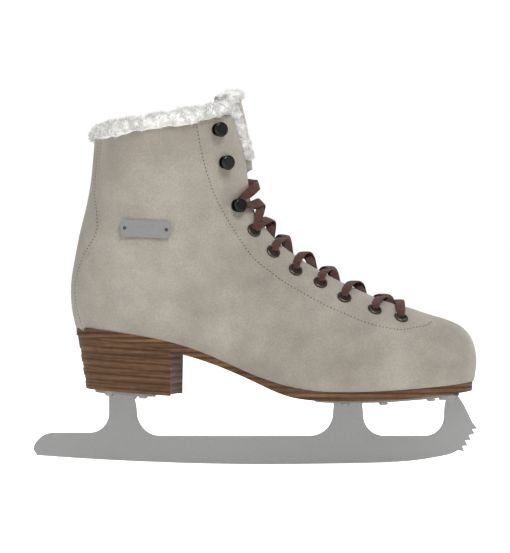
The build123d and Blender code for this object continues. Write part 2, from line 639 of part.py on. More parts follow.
# ------------------------------------------------------------------ fittings on the upper
def station_of(x, z):
    """Station of the section plane through a point seen from the side."""
    if x > PIVOT_X:
        return PIVOT_X - x
    if z <= PIVOT_Z:
        return math.degrees(math.atan2(PIVOT_X - x, PIVOT_Z - z))
    s = FAN_END
    for _ in range(30):
        tilt = math.radians(COLLAR_TILT_DEG) * min((s - FAN_END) / COLLAR_H, 1.0)
        s = FAN_END + z - PIVOT_Z + (PIVOT_X - x) * math.tan(tilt)
    return s


def angle_at(s, x, z):
    """Angle on the section at the point seen from the side at x, z."""
    cut = section(s)
    origin, direction = station_frame(s)
    along = float((np.array([x, z]) - origin) @ direction)
    front, widest, rear = cut[2], cut[3], cut[4]
    if along < widest:
        share = (widest - max(along, front)) / (widest - front)
        return math.degrees(math.acos(share ** (cut[6] / 2)))
    share = (min(along, rear) - widest) / (rear - widest)
    return 180.0 - math.degrees(math.acos(share ** (cut[7] / 2)))


def seat(x, z, side, height):
    """Plane on the upper at x, z. Its z axis leaves the surface and its x axis points to the throat."""
    s = station_of(x, z)
    angle = angle_at(s, x, z)
    cut = section(s)
    here = ring_point(cut, s, side * angle)
    to_throat = ring_point(cut, s, side * (angle - 1.0)) - ring_point(cut, s, side * (angle + 1.0))
    upwards = ring_point(section(s + 0.5), s + 0.5, side * angle) - ring_point(section(s - 0.5),
                                                                               s - 0.5, side * angle)
    normal = upwards.cross(to_throat) * side
    return Plane(origin=here, x_dir=to_throat, z_dir=normal).offset(height)


def build_eyelets(side):
    """Row of eyelets."""
    row = []
    for x, z in EYELETS:
        flange = Cylinder(EYELET_R, EYELET_H, align=(Align.CENTER, Align.CENTER, Align.MIN))
        flange = fillet(flange.edges().sort_by(Axis.Z)[-1], 0.7)
        ring = flange - Cylinder(EYELET_BORE_R, 20.0)
        row.append((seat(x, z, side, SEAT) * ring).solid())
    return row


def build_hooks(side):
    """Row of lace hooks: a round base, a neck on the throat's side and a domed head."""
    row = []
    for x, z in HOOKS:
        base = Cylinder(HOOK_BASE_R, 0.8, align=(Align.CENTER, Align.CENTER, Align.MIN))
        neck = Pos(HOOK_BASE_R - 1.6, 0, 0.4) * Box(1.6, 4.4, HOOK_NECK, align=(Align.CENTER,
                                                                                Align.CENTER, Align.MIN))
        head = Pos(0, 0, HOOK_NECK) * Cylinder(HOOK_HEAD_R, 1.5, align=(Align.CENTER, Align.CENTER,
                                                                        Align.MIN))
        head = fillet(head.edges().sort_by(Axis.Z)[-1], 1.2)
        row.append((seat(x, z, side, SEAT) * (base + neck + head)).solid())
    return row


def build_badge():
    """Plain rounded plate on the outer side of the ankle."""
    flat = badge_frame() * extrude(RectangleRounded(BADGE_L, BADGE_W, 2.4), amount=BADGE_T)
    return drilled(flat, badge_rivet_holes())


def badge_frame():
    """Plane of the badge's back, turned to lie on the leather."""
    leather = seat(BADGE_X, BADGE_Z, -1, SEAT)
    tilt = math.radians(BADGE_TILT_DEG)
    along = Vector(math.cos(tilt), 0, -math.sin(tilt))
    along = along - leather.z_dir * along.dot(leather.z_dir)
    return Plane(origin=leather.origin, x_dir=along, z_dir=leather.z_dir)


def badge_rivet_holes():
    return [(badge_frame() * Pos(side * (BADGE_L / 2 - 2.6), 0, 0),
             BADGE_RIVET_R, 80.0) for side in (-1, 1)]


def build_badge_rivets():
    rivets = []
    for side in (-1, 1):
        at = badge_frame() * Pos(side * (BADGE_L / 2 - 2.6), 0, 0)
        rivets.append((at * Cylinder(BADGE_RIVET_R, 1.5, align=(Align.CENTER, Align.CENTER,
                                                                Align.MIN))).solid())
    return rivets


# ------------------------------------------------------------------ laces
def lace_point(s, v, height):
    """Point over the throat at a station: v across from the ridge, height above the boot's surface."""
    cut = section(s, -height)
    return ring_point(cut, s, math.copysign(front_angle(cut, s, abs(v)), v))


def ribbon(path, width=LACE_W):
    """Flat lace through (station, across, height) triples."""
    fine = np.linspace(0.0, 1.0, 3 * len(path) - 2)
    knots = np.linspace(0.0, 1.0, len(path))
    track = [through(list(zip(knots, [p[k] for p in path]))) for k in range(3)]
    centres = [lace_point(*[f(t) for f in track]) for t in fine]
    above = [lace_point(track[0](t), track[1](t), track[2](t) + 1.0) for t in fine]
    wires = []
    for k, (centre, top) in enumerate(zip(centres, above)):
        ahead = centres[min(k + 1, len(centres) - 1)] - centres[max(k - 1, 0)]
        across = (top - centre).cross(ahead).normalized() * (width / 2)
        up = ahead.cross(across).normalized() * (LACE_T / 2)
        corners = [centre + across + up, centre - across + up, centre - across - up, centre + across - up]
        wires.append(Wire.make_polygon(corners))
    return Solid.make_loft(wires, ruled=True)


def lace_anchor(index, points):
    """Station and distance from the ridge of an eyelet or hook."""
    x, z = points[index]
    s = station_of(x, z)
    cut = section(s)
    return s, abs(ring_point(cut, s, angle_at(s, x, z)).Y - centre_y(s))


def crossing_strand(side, start, end, over):
    """Lace from a fitting on one side, across the tongue, to the back of the opposite facing.

    The strand that goes over dives late, the one below it dives early.
    """
    (s0, v0), (s1, v1) = start, end
    heights = (LACE_UP, LACE_UP, 2.3, 1.3, 2.2, -LACE_DOWN, -LACE_DOWN) if over else \
              (LACE_UP, 2.2, 0.8, -0.8, -2.6, -LACE_DOWN, -LACE_DOWN)
    edge = throat_half((s0 + s1) / 2)
    tucked_end = min(v1 - 3.0, lining_front(s1) - 1.5)
    spots = (-v0 + 1.0, -edge, -0.55 * edge, 0.0, 0.5 * edge, edge - 1.2, tucked_end)
    path = []
    for v, height in zip(spots, heights):
        share = (v + v0) / (v0 + v1)
        path.append((s0 + share * (s1 - s0), side * v, height))
    return ribbon(path)


def build_laces():
    """The lace as separate strands, criss-crossed from the toe end up to the lowest hook."""
    anchors = [lace_anchor(k, EYELETS) for k in range(len(EYELETS))]
    s, v = anchors[-1]
    strands = [ribbon([(s, -v, LACE_UP), (s, -v / 2, LACE_UP), (s, 0.0, LACE_UP), (s, v / 2, LACE_UP),
                       (s, v, LACE_UP)])]
    for k in range(len(anchors) - 1):
        over = 1 if k % 2 == 0 else -1
        for side in (-1, 1):
            strands.append(crossing_strand(side, anchors[k], anchors[k + 1], side == over))
    neighbours = [build_quarter(-1), build_quarter(1), build_lower_tongue(0.0, TONGUE_T)]
    neighbours += build_eyelets(-1) + build_eyelets(1)
    return [largest(strand - neighbours) for strand in strands]


# ------------------------------------------------------------------ all the nodes
def build_all():
    """Every node's name and builder."""
    return {
        "blade": build_blade,
        "sole_plate": build_sole_plate,
        "heel_plate": build_heel_plate,
        "sole_plate_screws": build_sole_screws,
        "heel_plate_screws": build_heel_screws,
        "outsole": build_outsole,
        "heel_lifts": build_heel_lifts,
        "footbed": build_footbed,
        "vamp": build_vamp,
        "quarter_lateral": lambda: build_quarter(-1),
        "quarter_medial": lambda: build_quarter(1),
        "back_strip": build_back_strip,
        "lining_lateral": lambda: build_side_lining(-1),
        "lining_medial": lambda: build_side_lining(1),
        "fur_collar": build_fur_collar,
        "tongue_lower": lambda: build_lower_tongue(0.0, TONGUE_T),
        "tongue_upper": lambda: build_free_tongue(0.0, TONGUE_T, 0.0),
        "tongue_fleece": lambda: build_free_tongue(TONGUE_T + 0.1, TONGUE_FLEECE_T, 1.0),
        "eyelets_lateral": lambda: build_eyelets(-1),
        "eyelets_medial": lambda: build_eyelets(1),
        "hooks_lateral": lambda: build_hooks(-1),
        "hooks_medial": lambda: build_hooks(1),
        "laces": build_laces,
        "badge_plate": build_badge,
        "badge_rivets": build_badge_rivets,
    }


if __name__ == "__main__":
    os.makedirs("parts", exist_ok=True)
    for name, build in build_all().items():
        made = build()
        solids = made if isinstance(made, list) else list(made.solids())
        shape = solids[0] if len(solids) == 1 else Compound(children=solids)
        export_step(shape, "parts/" + name + ".step")
        print(name, len(solids), round(sum(one.volume for one in solids)))
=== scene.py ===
"""Looks of a right-foot figure skate, built round its CAD frame.

+X towards the toe, +Y towards the inner side of the foot, +Z up. Lengths are in millimetres until a mesh
is made, which turns them into metres.
"""
import bmesh
import bpy
import math
from functools import lru_cache
import numpy as np
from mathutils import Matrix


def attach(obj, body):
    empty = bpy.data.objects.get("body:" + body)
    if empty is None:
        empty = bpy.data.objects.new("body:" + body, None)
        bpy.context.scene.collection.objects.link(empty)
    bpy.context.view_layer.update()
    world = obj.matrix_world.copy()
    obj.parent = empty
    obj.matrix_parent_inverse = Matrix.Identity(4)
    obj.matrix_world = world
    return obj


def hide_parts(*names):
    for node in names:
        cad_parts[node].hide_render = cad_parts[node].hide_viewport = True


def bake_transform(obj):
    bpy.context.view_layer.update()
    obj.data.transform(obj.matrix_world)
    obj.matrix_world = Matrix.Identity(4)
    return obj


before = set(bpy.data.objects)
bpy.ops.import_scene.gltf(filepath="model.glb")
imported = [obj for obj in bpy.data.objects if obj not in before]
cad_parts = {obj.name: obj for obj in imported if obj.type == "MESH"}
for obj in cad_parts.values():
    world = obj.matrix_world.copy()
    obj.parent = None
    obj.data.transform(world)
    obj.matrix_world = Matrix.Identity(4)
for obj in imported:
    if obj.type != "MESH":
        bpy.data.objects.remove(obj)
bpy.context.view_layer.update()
rng = np.random.default_rng(7)

# ------------------------------------------------------------------ the boot's shape
FRONT_LINE = [(134.0, 69.0), (132.8, 77.0), (129.6, 84.3), (124.0, 90.2), (114.0, 94.8), (104.0, 97.6),
              (92.0, 101.6), (68.0, 110.8), (50.0, 119.6), (32.0, 130.0), (17.5, 139.6), (5.0, 149.8),
              (-4.0, 161.0), (-9.6, 173.0), (-12.0, 187.0), (-13.4, 203.0), (-16.0, 221.0), (-20.0, 238.0),
              (-24.0, 254.0)]
# Underside and back of the lasted body. The underside runs below the sole line, which trims it.
REAR_LINE = [(134.0, 69.0), (133.3, 62.0), (129.0, 50.0), (110.0, 42.0), (50.0, 39.0), (24.0, 39.5),
             (-2.0, 45.5), (-42.0, 61.0), (-81.0, 70.5), (-108.0, 74.0), (-121.5, 78.0), (-127.0, 88.0),
             (-130.4, 104.0), (-130.6, 120.0), (-128.0, 136.0), (-124.8, 152.0), (-120.8, 168.0),
             (-117.8, 184.0), (-116.2, 200.0), (-115.0, 215.0), (-114.0, 232.0)]
# Where the upper meets the sole.
SOLE_TOP = [(-136.0, 91.6), (-104.5, 87.4), (-70.9, 81.6), (-41.1, 73.0), (-2.3, 57.8), (23.6, 51.8),
            (50.0, 51.0), (82.0, 52.3), (108.0, 54.3), (140.0, 57.6)]

TOE_TIP = 134.0
PIVOT_X, PIVOT_Z = 11.5, 189.0     # the section planes of the ankle fan out from this line
COLLAR_H = 44.0                    # height of the top edge above the pivot, along the pivot line
COLLAR_TILT_DEG = 9.0              # the top edge rises towards the shin
FOOT_START = -(TOE_TIP - PIVOT_X)  # station of the tip of the toe
FAN_END = 90.0                     # station where the sections lie flat
COLLAR = FAN_END + COLLAR_H        # station of the boot's top edge
TOP_END = COLLAR + 14.0            # last station, above the collar
NOSE_LENGTH = 40.0                 # length of the rounded front of the toe box
LIFT_SLOPE_DEG = 4.4               # slope of the layers at the heel's edge
LIFT_PITCH = 4.3                   # thickness of one of them
COLLAR_STRANDS = 9000              # strands of pile on the collar's roll
TONGUE_STRANDS = 5200              # on the tongue's free end
TRIM_STRANDS = 4200                # and on the roll along its edges
ROLL_SIDES = 20                    # points round the collar's roll
TRIM_SIDES = 16                    # and round the tongue's
CAMERA_DISTANCE = 1600.0           # from the plane through the skate's middle
VIEW_HEIGHT = 362.2                # height of the view in that plane
MM = 0.001                         # metres in a millimetre
SETTLE_STEPS = 30                  # repeats that settle a value found by iteration
BISECT_STEPS = 26                  # halvings that find a root


# ------------------------------------------------------------------ small helpers
def through(pairs):
    """A smooth function through (key, value) pairs that never overshoots them."""
    x, y = np.array(pairs, float).T
    slope = np.diff(y) / np.diff(x)
    tangent = np.concatenate([[slope[0]], (slope[1:] + slope[:-1]) / 2, [slope[-1]]])
    for i, s in enumerate(slope):
        for j in (i, i + 1):
            tangent[j] = 0.0 if tangent[j] * s <= 0 else math.copysign(min(abs(tangent[j]), 3 * abs(s)), s)

    def value(at):
        i = int(np.clip(np.searchsorted(x, at) - 1, 0, len(slope) - 1))
        h = x[i + 1] - x[i]
        t = min(max((at - x[i]) / h, 0.0), 1.0)
        return float((1 + 2 * t) * (1 - t) ** 2 * y[i] + t * (1 - t) ** 2 * h * tangent[i]
                     + t * t * (3 - 2 * t) * y[i + 1] + t * t * (t - 1) * h * tangent[i + 1])
    return lru_cache(maxsize=4096)(value)


def sampled(points, steps=40):
    """A dense polyline along a smooth curve through the points."""
    p = np.array([points[0]] + list(points) + [points[-1]], float)
    out = []
    for k in range(1, len(p) - 2):
        a, b, c, d = p[k - 1], p[k], p[k + 1], p[k + 2]
        for t in np.linspace(0, 1, steps, endpoint=False):
            out.append(0.5 * (2 * b + (c - a) * t + (2 * a - 5 * b + 4 * c - d) * t ** 2
                              + (3 * b - a - 3 * c + d) * t ** 3))
    out.append(p[-2])
    return np.array(out)


front_curve = sampled(FRONT_LINE)
rear_curve = sampled(REAR_LINE)
sole_curve = sampled(SOLE_TOP)
half_width = through([(FOOT_START, 40.0), (-90.0, 40.5), (-66.0, 43.5), (-48.0, 43.0), (-28.0, 39.5),
                      (0.0, 35.5), (20.0, 34.5), (45.0, 34.5), (70.0, 35.0), (FAN_END, 36.0),
                      (COLLAR, 40.0), (TOP_END, 41.0)])
centre_y = through([(FOOT_START, 7.0), (-90.0, 4.0), (-40.0, -1.0), (0.0, -1.5), (45.0, 0.0),
                    (TOP_END, 0.0)])
widest_at = through([(FOOT_START, 0.62), (-90.0, 0.66), (-30.0, 0.66), (0.0, 0.60), (45.0, 0.52),
                     (TOP_END, 0.52)])
front_power = through([(FOOT_START, 2.2), (-60.0, 2.1), (0.0, 1.9), (FAN_END, 2.0), (TOP_END, 2.1)])
rear_power = through([(FOOT_START, 3.0), (-100.0, 4.0), (-30.0, 4.0), (0.0, 3.2), (30.0, 2.5),
                      (TOP_END, 2.3)])


# How much a section narrows towards the instep's ridge.
lean = through([(FOOT_START, 0.0), (-95.0, 0.06), (-70.0, 0.24), (-20.0, 0.30), (30.0, 0.28), (60.0, 0.22),
                (FAN_END, 0.12), (COLLAR, 0.0), (TOP_END, 0.0)])


def station_frame(s):
    """Origin and direction, front to back, of the section plane at a station.

    Below 0 the planes are upright and s counts back from the pivot; up to FAN_END they turn about the
    pivot by s degrees; above it they climb the shaft and tilt to match the top edge.
    """
    if s <= 0:
        return np.array([PIVOT_X - s, PIVOT_Z]), np.array([0.0, -1.0])
    if s <= FAN_END:
        a = math.radians(s)
        return np.array([PIVOT_X, PIVOT_Z]), np.array([-math.sin(a), -math.cos(a)])
    rise = s - FAN_END
    tilt = math.radians(COLLAR_TILT_DEG) * min(rise / COLLAR_H, 1.0)
    return np.array([PIVOT_X, PIVOT_Z + rise]), np.array([-math.cos(tilt), -math.sin(tilt)])


def crossing(curve, origin, direction):
    """Distance from the origin, along the direction, at which the line meets the curve."""
    offset = curve - origin
    side = offset[:, 0] * direction[1] - offset[:, 1] * direction[0]
    hits = np.nonzero(side[:-1] * side[1:] <= 0)[0]
    along = []
    for i in hits:
        t = side[i] / (side[i] - side[i + 1]) if side[i] != side[i + 1] else 0.0
        along.append(float((offset[i] + t * (offset[i + 1] - offset[i])) @ direction))
    return min(a for a in along if a > 0)


def nose_at(x):
    """How far round the toe's nose a plane is: 0 at its start, 1 at the tip."""
    return max(0.0, (x - (TOE_TIP - NOSE_LENGTH)) / NOSE_LENGTH)


def moved_forward(x, inset):
    """X whose section, moved back by the inset's share along X, lands on the plane at x."""
    ahead = x
    for _ in range(SETTLE_STEPS):
        ahead = min(x + inset * nose_at(ahead) ** 2, TOE_TIP - 0.05)
    return ahead


@lru_cache(maxsize=8192)
def section(s, inset=0.0):
    """A section's plane, its front, widest and rear distances, half width and powers."""
    plane_origin, direction = station_frame(s)
    origin = plane_origin
    nose = nose_at(origin[0]) if s < 0 else 0.0
    if nose > 0:
        origin = np.array([moved_forward(origin[0], inset), origin[1]])
        nose = nose_at(origin[0])
        inset *= math.sqrt(max(1 - nose ** 4, 0.0))
    front = crossing(front_curve, origin, direction)
    rear = crossing(rear_curve, origin, direction)
    widest = front + widest_at(s) * (rear - front)
    half = half_width(s) * (1 - nose ** 2.2) ** (1 / 2.2)
    return (plane_origin, direction, front + inset, widest, rear - inset, half - inset, front_power(s),
            rear_power(s))


def ring_point(cut, s, angle):
    """A point on a section's edge. Angle 0 is the front, 180 the rear, 90 the medial side."""
    origin, direction, front, widest, rear, half, front_n, rear_n = cut
    a = math.radians(angle)
    c, d = math.cos(a), math.sin(a)
    n, reach = (front_n, widest - front) if c >= 0 else (rear_n, rear - widest)
    along = widest - math.copysign(abs(c) ** (2 / n), c) * reach
    across = math.copysign(abs(d) ** (2 / n), d) * half
    if c > 0:
        across *= 1 - lean(s) * c ** (4 / n)
    x, z = origin + direction * along
    return np.array([x, centre_y(s) + across, z])


HINGE = 97.0                       # station where the tongue's free end bends
THROAT_END = FOOT_START + 42.5     # station of the throat's lower end
TONGUE_ROOT = THROAT_END - 10.0    # station of the tongue's lower end
TONGUE_TOP = COLLAR + 13.0         # station of its upper end
TONGUE_IN = 5.0                    # depth of the tongue's face under the facings
EYELETS = [(-12.2, 152.6), (0.3, 138.9), (14.7, 127.1), (30.8, 118.9), (46.2, 109.4), (65.8, 101.5),
           (82.9, 96.3)]
HOOKS = [(-35.7, 217.2), (-31.4, 196.4), (-23.7, 168.8)]
throat_half = through([(THROAT_END, 0.0), (THROAT_END + 8.0, 9.0), (-58.0, 10.0), (0.0, 10.0), (60.0, 10.5),
                       (HINGE, 13.5), (118.0, 19.0), (COLLAR, 23.0), (TOP_END, 25.0)])
tongue_half = through([(TONGUE_ROOT, 8.0), (TONGUE_ROOT + 8.0, 14.0), (-50.0, 19.0), (0.0, 22.0),
                       (84.0, 22.0), (91.0, 11.0), (HINGE, 11.8)])
tongue_inset = through([(TONGUE_ROOT, TONGUE_IN), (84.0, TONGUE_IN), (91.0, TONGUE_IN - 0.6), (HINGE, 0.5)])


def bisect(f, low, high):
    """Root of f between low and high, where f(low) > 0 > f(high)."""
    for _ in range(BISECT_STEPS):
        middle = (low + high) / 2
        if f(middle) > 0:
            low = middle
        else:
            high = middle
    return (low + high) / 2


def front_angle(cut, s, y):
    """Angle on the front half of a section where the surface is y away from the middle."""
    half, n, narrowing = cut[5], cut[6], lean(s)
    return bisect(lambda a: y - half * math.sin(math.radians(a)) ** (2 / n)
                  * (1 - narrowing * max(math.cos(math.radians(a)), 0.0) ** (4 / n)), 0.0, 90.0)


def station_of(x, z):
    """Station of the section plane through a point seen from the side."""
    if x > PIVOT_X:
        return PIVOT_X - x
    if z <= PIVOT_Z:
        return math.degrees(math.atan2(PIVOT_X - x, PIVOT_Z - z))
    s = FAN_END
    for _ in range(SETTLE_STEPS):
        tilt = math.radians(COLLAR_TILT_DEG) * min((s - FAN_END) / COLLAR_H, 1.0)
        s = FAN_END + z - PIVOT_Z + (PIVOT_X - x) * math.tan(tilt)
    return s


def angle_at(s, x, z):
    """Angle on the section at the point seen from the side at x, z."""
    cut = section(s)
    origin, direction = station_frame(s)
    along = float((np.array([x, z]) - origin) @ direction)
    front, widest, rear = cut[2], cut[3], cut[4]
    if along < widest:
        share = (widest - max(along, front)) / (widest - front)
        return math.degrees(math.acos(share ** (cut[6] / 2)))
    share = (min(along, rear) - widest) / (rear - widest)
    return 180.0 - math.degrees(math.acos(share ** (cut[7] / 2)))


def surface(s, angle, inset=0.0):
    """Point on the boot at a station and an angle, moved in by inset."""
    return ring_point(section(s, inset), s, angle)


def over_throat(s, v, height):
    """Point v across from the ridge at a station, height above the boot's surface."""
    cut = section(s, -height)
    return ring_point(cut, s, math.copysign(front_angle(cut, s, abs(v)), v))


def seat(x, z, side, height=0.0):
    """Point on the boot at x, z, and the directions towards the throat, up the boot and out of it."""
    s = station_of(x, z)
    angle = angle_at(s, x, z)
    here = surface(s, side * angle)
    to_throat = surface(s, side * (angle - 1.0)) - surface(s, side * (angle + 1.0))
    up = surface(s + 0.6, side * angle) - surface(s - 0.6, side * angle)
    to_throat /= np.linalg.norm(to_throat)
    normal = np.cross(up, to_throat) * side
    normal /= np.linalg.norm(normal)
    if normal[1] * side < 0:
        normal = -normal
    return here + normal * height, to_throat, np.cross(normal, to_throat), normal


def even_angles(s, first, end, count, inset=0.0):
    """Angles that space a section's points evenly."""
    angles = np.linspace(first, end, 121)
    cut = section(s, inset)
    points = np.array([ring_point(cut, s, a) for a in angles])
    along = np.concatenate([[0.0], np.cumsum(np.linalg.norm(np.diff(points, axis=0), axis=1))])
    return np.interp(np.linspace(0.0, along[-1], count), along, angles)


def sole_height(x):
    return float(np.interp(x, sole_curve[:, 0], sole_curve[:, 1]))


# ------------------------------------------------------------------ mesh helpers
def make_mesh(name, points, faces, uv=None, smooth=True):
    mesh = bpy.data.meshes.new(name)
    mesh.from_pydata([tuple(np.asarray(p) * MM) for p in points], [], faces)
    if uv is not None:
        layer = mesh.uv_layers.new(name="UVMap")
        for loop in mesh.loops:
            layer.data[loop.index].uv = uv[loop.vertex_index]
    mesh.polygons.foreach_set("use_smooth", [smooth] * len(mesh.polygons))
    obj = bpy.data.objects.new(name, mesh)
    bpy.context.scene.collection.objects.link(obj)
    return obj


def grid_mesh(name, grid, closed=False):
    """A sheet through rows of points. closed joins each row's last point to its first."""
    rows, columns = len(grid), len(grid[0])
    points = [p for row in grid for p in row]
    faces = []
    for i in range(rows - 1):
        for j in range(columns if closed else columns - 1):
            k = (j + 1) % columns
            faces.append((i * columns + j, i * columns + k, (i + 1) * columns + k, (i + 1) * columns + j))
    row_at = np.concatenate([[0.0], np.cumsum([np.linalg.norm(np.asarray(grid[i + 1][columns // 2])
                             - grid[i][columns // 2]) for i in range(rows - 1)])])
    uv = []
    for i, row in enumerate(grid):
        steps = np.linalg.norm(np.diff(np.array(row), axis=0), axis=1)
        across = np.concatenate([[0.0], np.cumsum(steps)])
        uv += [(row_at[i] / 100.0, a / 100.0) for a in across]
    return make_mesh(name, points, faces, uv)


def face_out(obj, centre):
    """Turns an open sheet's faces away from a point inside it."""
    total = 0.0
    middle = np.asarray(centre) * MM
    for face in obj.data.polygons:
        total += (np.array(face.center) - middle) @ np.array(face.normal) * face.area
    if total < 0:
        obj.data.flip_normals()


def weld(obj, distance=1e-6):
    """Joins points that lie in the same place."""
    mesh = bmesh.new()
    mesh.from_mesh(obj.data)
    bmesh.ops.remove_doubles(mesh, verts=mesh.verts, dist=distance)
    bmesh.ops.dissolve_degenerate(mesh, edges=mesh.edges, dist=distance)
    mesh.to_mesh(obj.data)
    mesh.free()


def thicken(obj, thickness, offset=-1.0):
    solid = obj.modifiers.new("thickness", "SOLIDIFY")
    solid.thickness = thickness * MM
    solid.offset = offset
    solid.use_even_offset = False


def scatter(name, template, faces, places):
    """Copies of a small template: places holds (point, three axes as columns, scale triple)."""
    points, all_faces = [], []
    for k, (at, axes, size) in enumerate(places):
        base = k * len(template)
        points.append(at + (template * size) @ np.asarray(axes).T)
        all_faces += [tuple(base + i for i in f) for f in faces]
    return make_mesh(name, np.concatenate(points), all_faces)


def ball(rings=5, segments=8):
    points = [(0, 0, 1.0)]
    for i in range(1, rings):
        a = math.pi * i / rings
        points += [(math.sin(a) * math.cos(2 * math.pi * j / segments),
                    math.sin(a) * math.sin(2 * math.pi * j / segments),
                    math.cos(a)) for j in range(segments)]
    points.append((0, 0, -1.0))
    faces = [(0, 1 + j, 1 + (j + 1) % segments) for j in range(segments)]
    for i in range(rings - 2):
        for j in range(segments):
            a, b = 1 + i * segments + j, 1 + i * segments + (j + 1) % segments
            faces.append((a, a + segments, b + segments, b))
    last = len(points) - 1
    faces += [(last, last - segments + (j + 1) % segments, last - segments + j) for j in range(segments)]
    return np.array(points), faces


def strands(name, roots, directions, length, radius=0.22, curl=0.5):
    """Short curled fibres as thin three-sided spikes."""
    count = len(roots)
    d = directions / np.linalg.norm(directions, axis=1)[:, None]
    side = np.cross(d, rng.normal(size=(count, 3)))
    side /= np.linalg.norm(side, axis=1)[:, None]
    other = np.cross(d, side)
    lengths = (length * rng.uniform(0.6, 1.15, count))[:, None]
    spin = rng.uniform(0, 2 * math.pi, count)[:, None]
    points, faces = [], []
    levels = [(0.0, 1.0), (0.35, 0.95), (0.7, 0.75), (1.0, 0.25)]
    for share, width in levels:
        bend = curl * lengths * share
        centre = (roots + d * lengths * share * (1 - 0.25 * share)
                  + side * bend * np.cos(spin + 4.0 * share) * 0.6
                  + other * bend * np.sin(spin + 4.0 * share) * 0.6)
        for k in range(3):
            a = 2 * math.pi * k / 3
            points.append(centre + (side * math.cos(a) + other * math.sin(a)) * radius * width)
    stack = np.stack(points, axis=1).reshape(-1, 3)
    per = 3 * len(levels)
    one = []
    for i in range(len(levels) - 1):
        for k in range(3):
            one.append((i * 3 + k, i * 3 + (k + 1) % 3, (i + 1) * 3 + (k + 1) % 3, (i + 1) * 3 + k))
    for n in range(count):
        faces += [tuple(n * per + i for i in f) for f in one]
    return make_mesh(name, stack, faces)


# ------------------------------------------------------------------ materials
def material(name):
    made = bpy.data.materials.new(name)
    made.use_nodes = True
    tree = made.node_tree
    return made, tree, tree.nodes["Principled BSDF"]


def noise(tree, scale, detail=4.0, stretch=(1, 1, 1), source="Object"):
    coords = tree.nodes.new("ShaderNodeTexCoord")
    mapping = tree.nodes.new("ShaderNodeMapping")
    mapping.inputs["Scale"].default_value = stretch
    texture = tree.nodes.new("ShaderNodeTexNoise")
    texture.inputs["Scale"].default_value = scale
    texture.inputs["Detail"].default_value = detail
    tree.links.new(coords.outputs[source], mapping.inputs["Vector"])
    tree.links.new(mapping.outputs["Vector"], texture.inputs["Vector"])
    return texture.outputs["Fac"]


def ramp(tree, value, stops):
    node = tree.nodes.new("ShaderNodeValToRGB")
    elements = node.color_ramp.elements
    elements[0].position, elements[0].color = stops[0][0], (*stops[0][1], 1)
    elements[1].position, elements[1].color = stops[-1][0], (*stops[-1][1], 1)
    for position, colour in stops[1:-1]:
        elements.new(position).color = (*colour, 1)
    tree.links.new(value, node.inputs["Fac"])
    return node.outputs["Color"]


def multiply(tree, a, b, factor=1.0):
    node = tree.nodes.new("ShaderNodeMix")
    node.data_type, node.blend_type = "RGBA", "MULTIPLY"
    node.inputs["Factor"].default_value = factor
    tree.links.new(a, node.inputs[6])
    tree.links.new(b, node.inputs[7])
    return node.outputs[2]


def bump(tree, shader, heights, distance):
    """Adds bumps from (value, strength) pairs."""
    previous = None
    for value, strength in heights:
        node = tree.nodes.new("ShaderNodeBump")
        node.inputs["Strength"].default_value = strength
        node.inputs["Distance"].default_value = distance
        tree.links.new(value, node.inputs["Height"])
        if previous is not None:
            tree.links.new(previous, node.inputs["Normal"])
        previous = node.outputs["Normal"]
    tree.links.new(previous, shader.inputs["Normal"])


def suede(name, light, dark, nap=1.0):
    made, tree, shader = material(name)
    between = [(a + b) / 2 for a, b in zip(light, dark)]
    clouds = ramp(tree, noise(tree, 22, 5), [(0.36, dark), (0.5, between), (0.64, light)])
    nap_noise = noise(tree, 900, 3)
    fine = ramp(tree, nap_noise, [(0.3, (0.86, 0.86, 0.86)), (0.7, (1.06, 1.06, 1.06))])
    patches = ramp(tree, noise(tree, 85, 4), [(0.35, (0.93, 0.93, 0.93)), (0.65, (1.03, 1.03, 1.02))])
    colour = multiply(tree, multiply(tree, clouds, patches), fine)
    tree.links.new(colour, shader.inputs["Base Color"])
    shader.inputs["Roughness"].default_value = 0.92
    shader.inputs["Specular IOR Level"].default_value = 0.2
    shader.inputs["Sheen Weight"].default_value = 0.25
    shader.inputs["Sheen Roughness"].default_value = 0.6
    bump(tree, shader, [(noise(tree, 55, 4), 0.25), (nap_noise, 0.35 * nap),
                        (noise(tree, 2600, 2), 0.3 * nap)], 0.0006)
    return made


def fleece(name, shade=(0.93, 0.92, 0.89)):
    made, tree, shader = material(name)
    curls = noise(tree, 320, 5)
    dark = [c * 0.86 for c in shade]
    tree.links.new(ramp(tree, curls, [(0.3, dark), (0.6, shade)]), shader.inputs["Base Color"])
    shader.inputs["Roughness"].default_value = 0.95
    shader.inputs["Sheen Weight"].default_value = 0.5
    shader.inputs["Subsurface Weight"].default_value = 0.12
    shader.inputs["Subsurface Radius"].default_value = (0.003, 0.0027, 0.0024)
    bump(tree, shader, [(curls, 0.55), (noise(tree, 1100, 3), 0.35)], 0.0012)
    return made


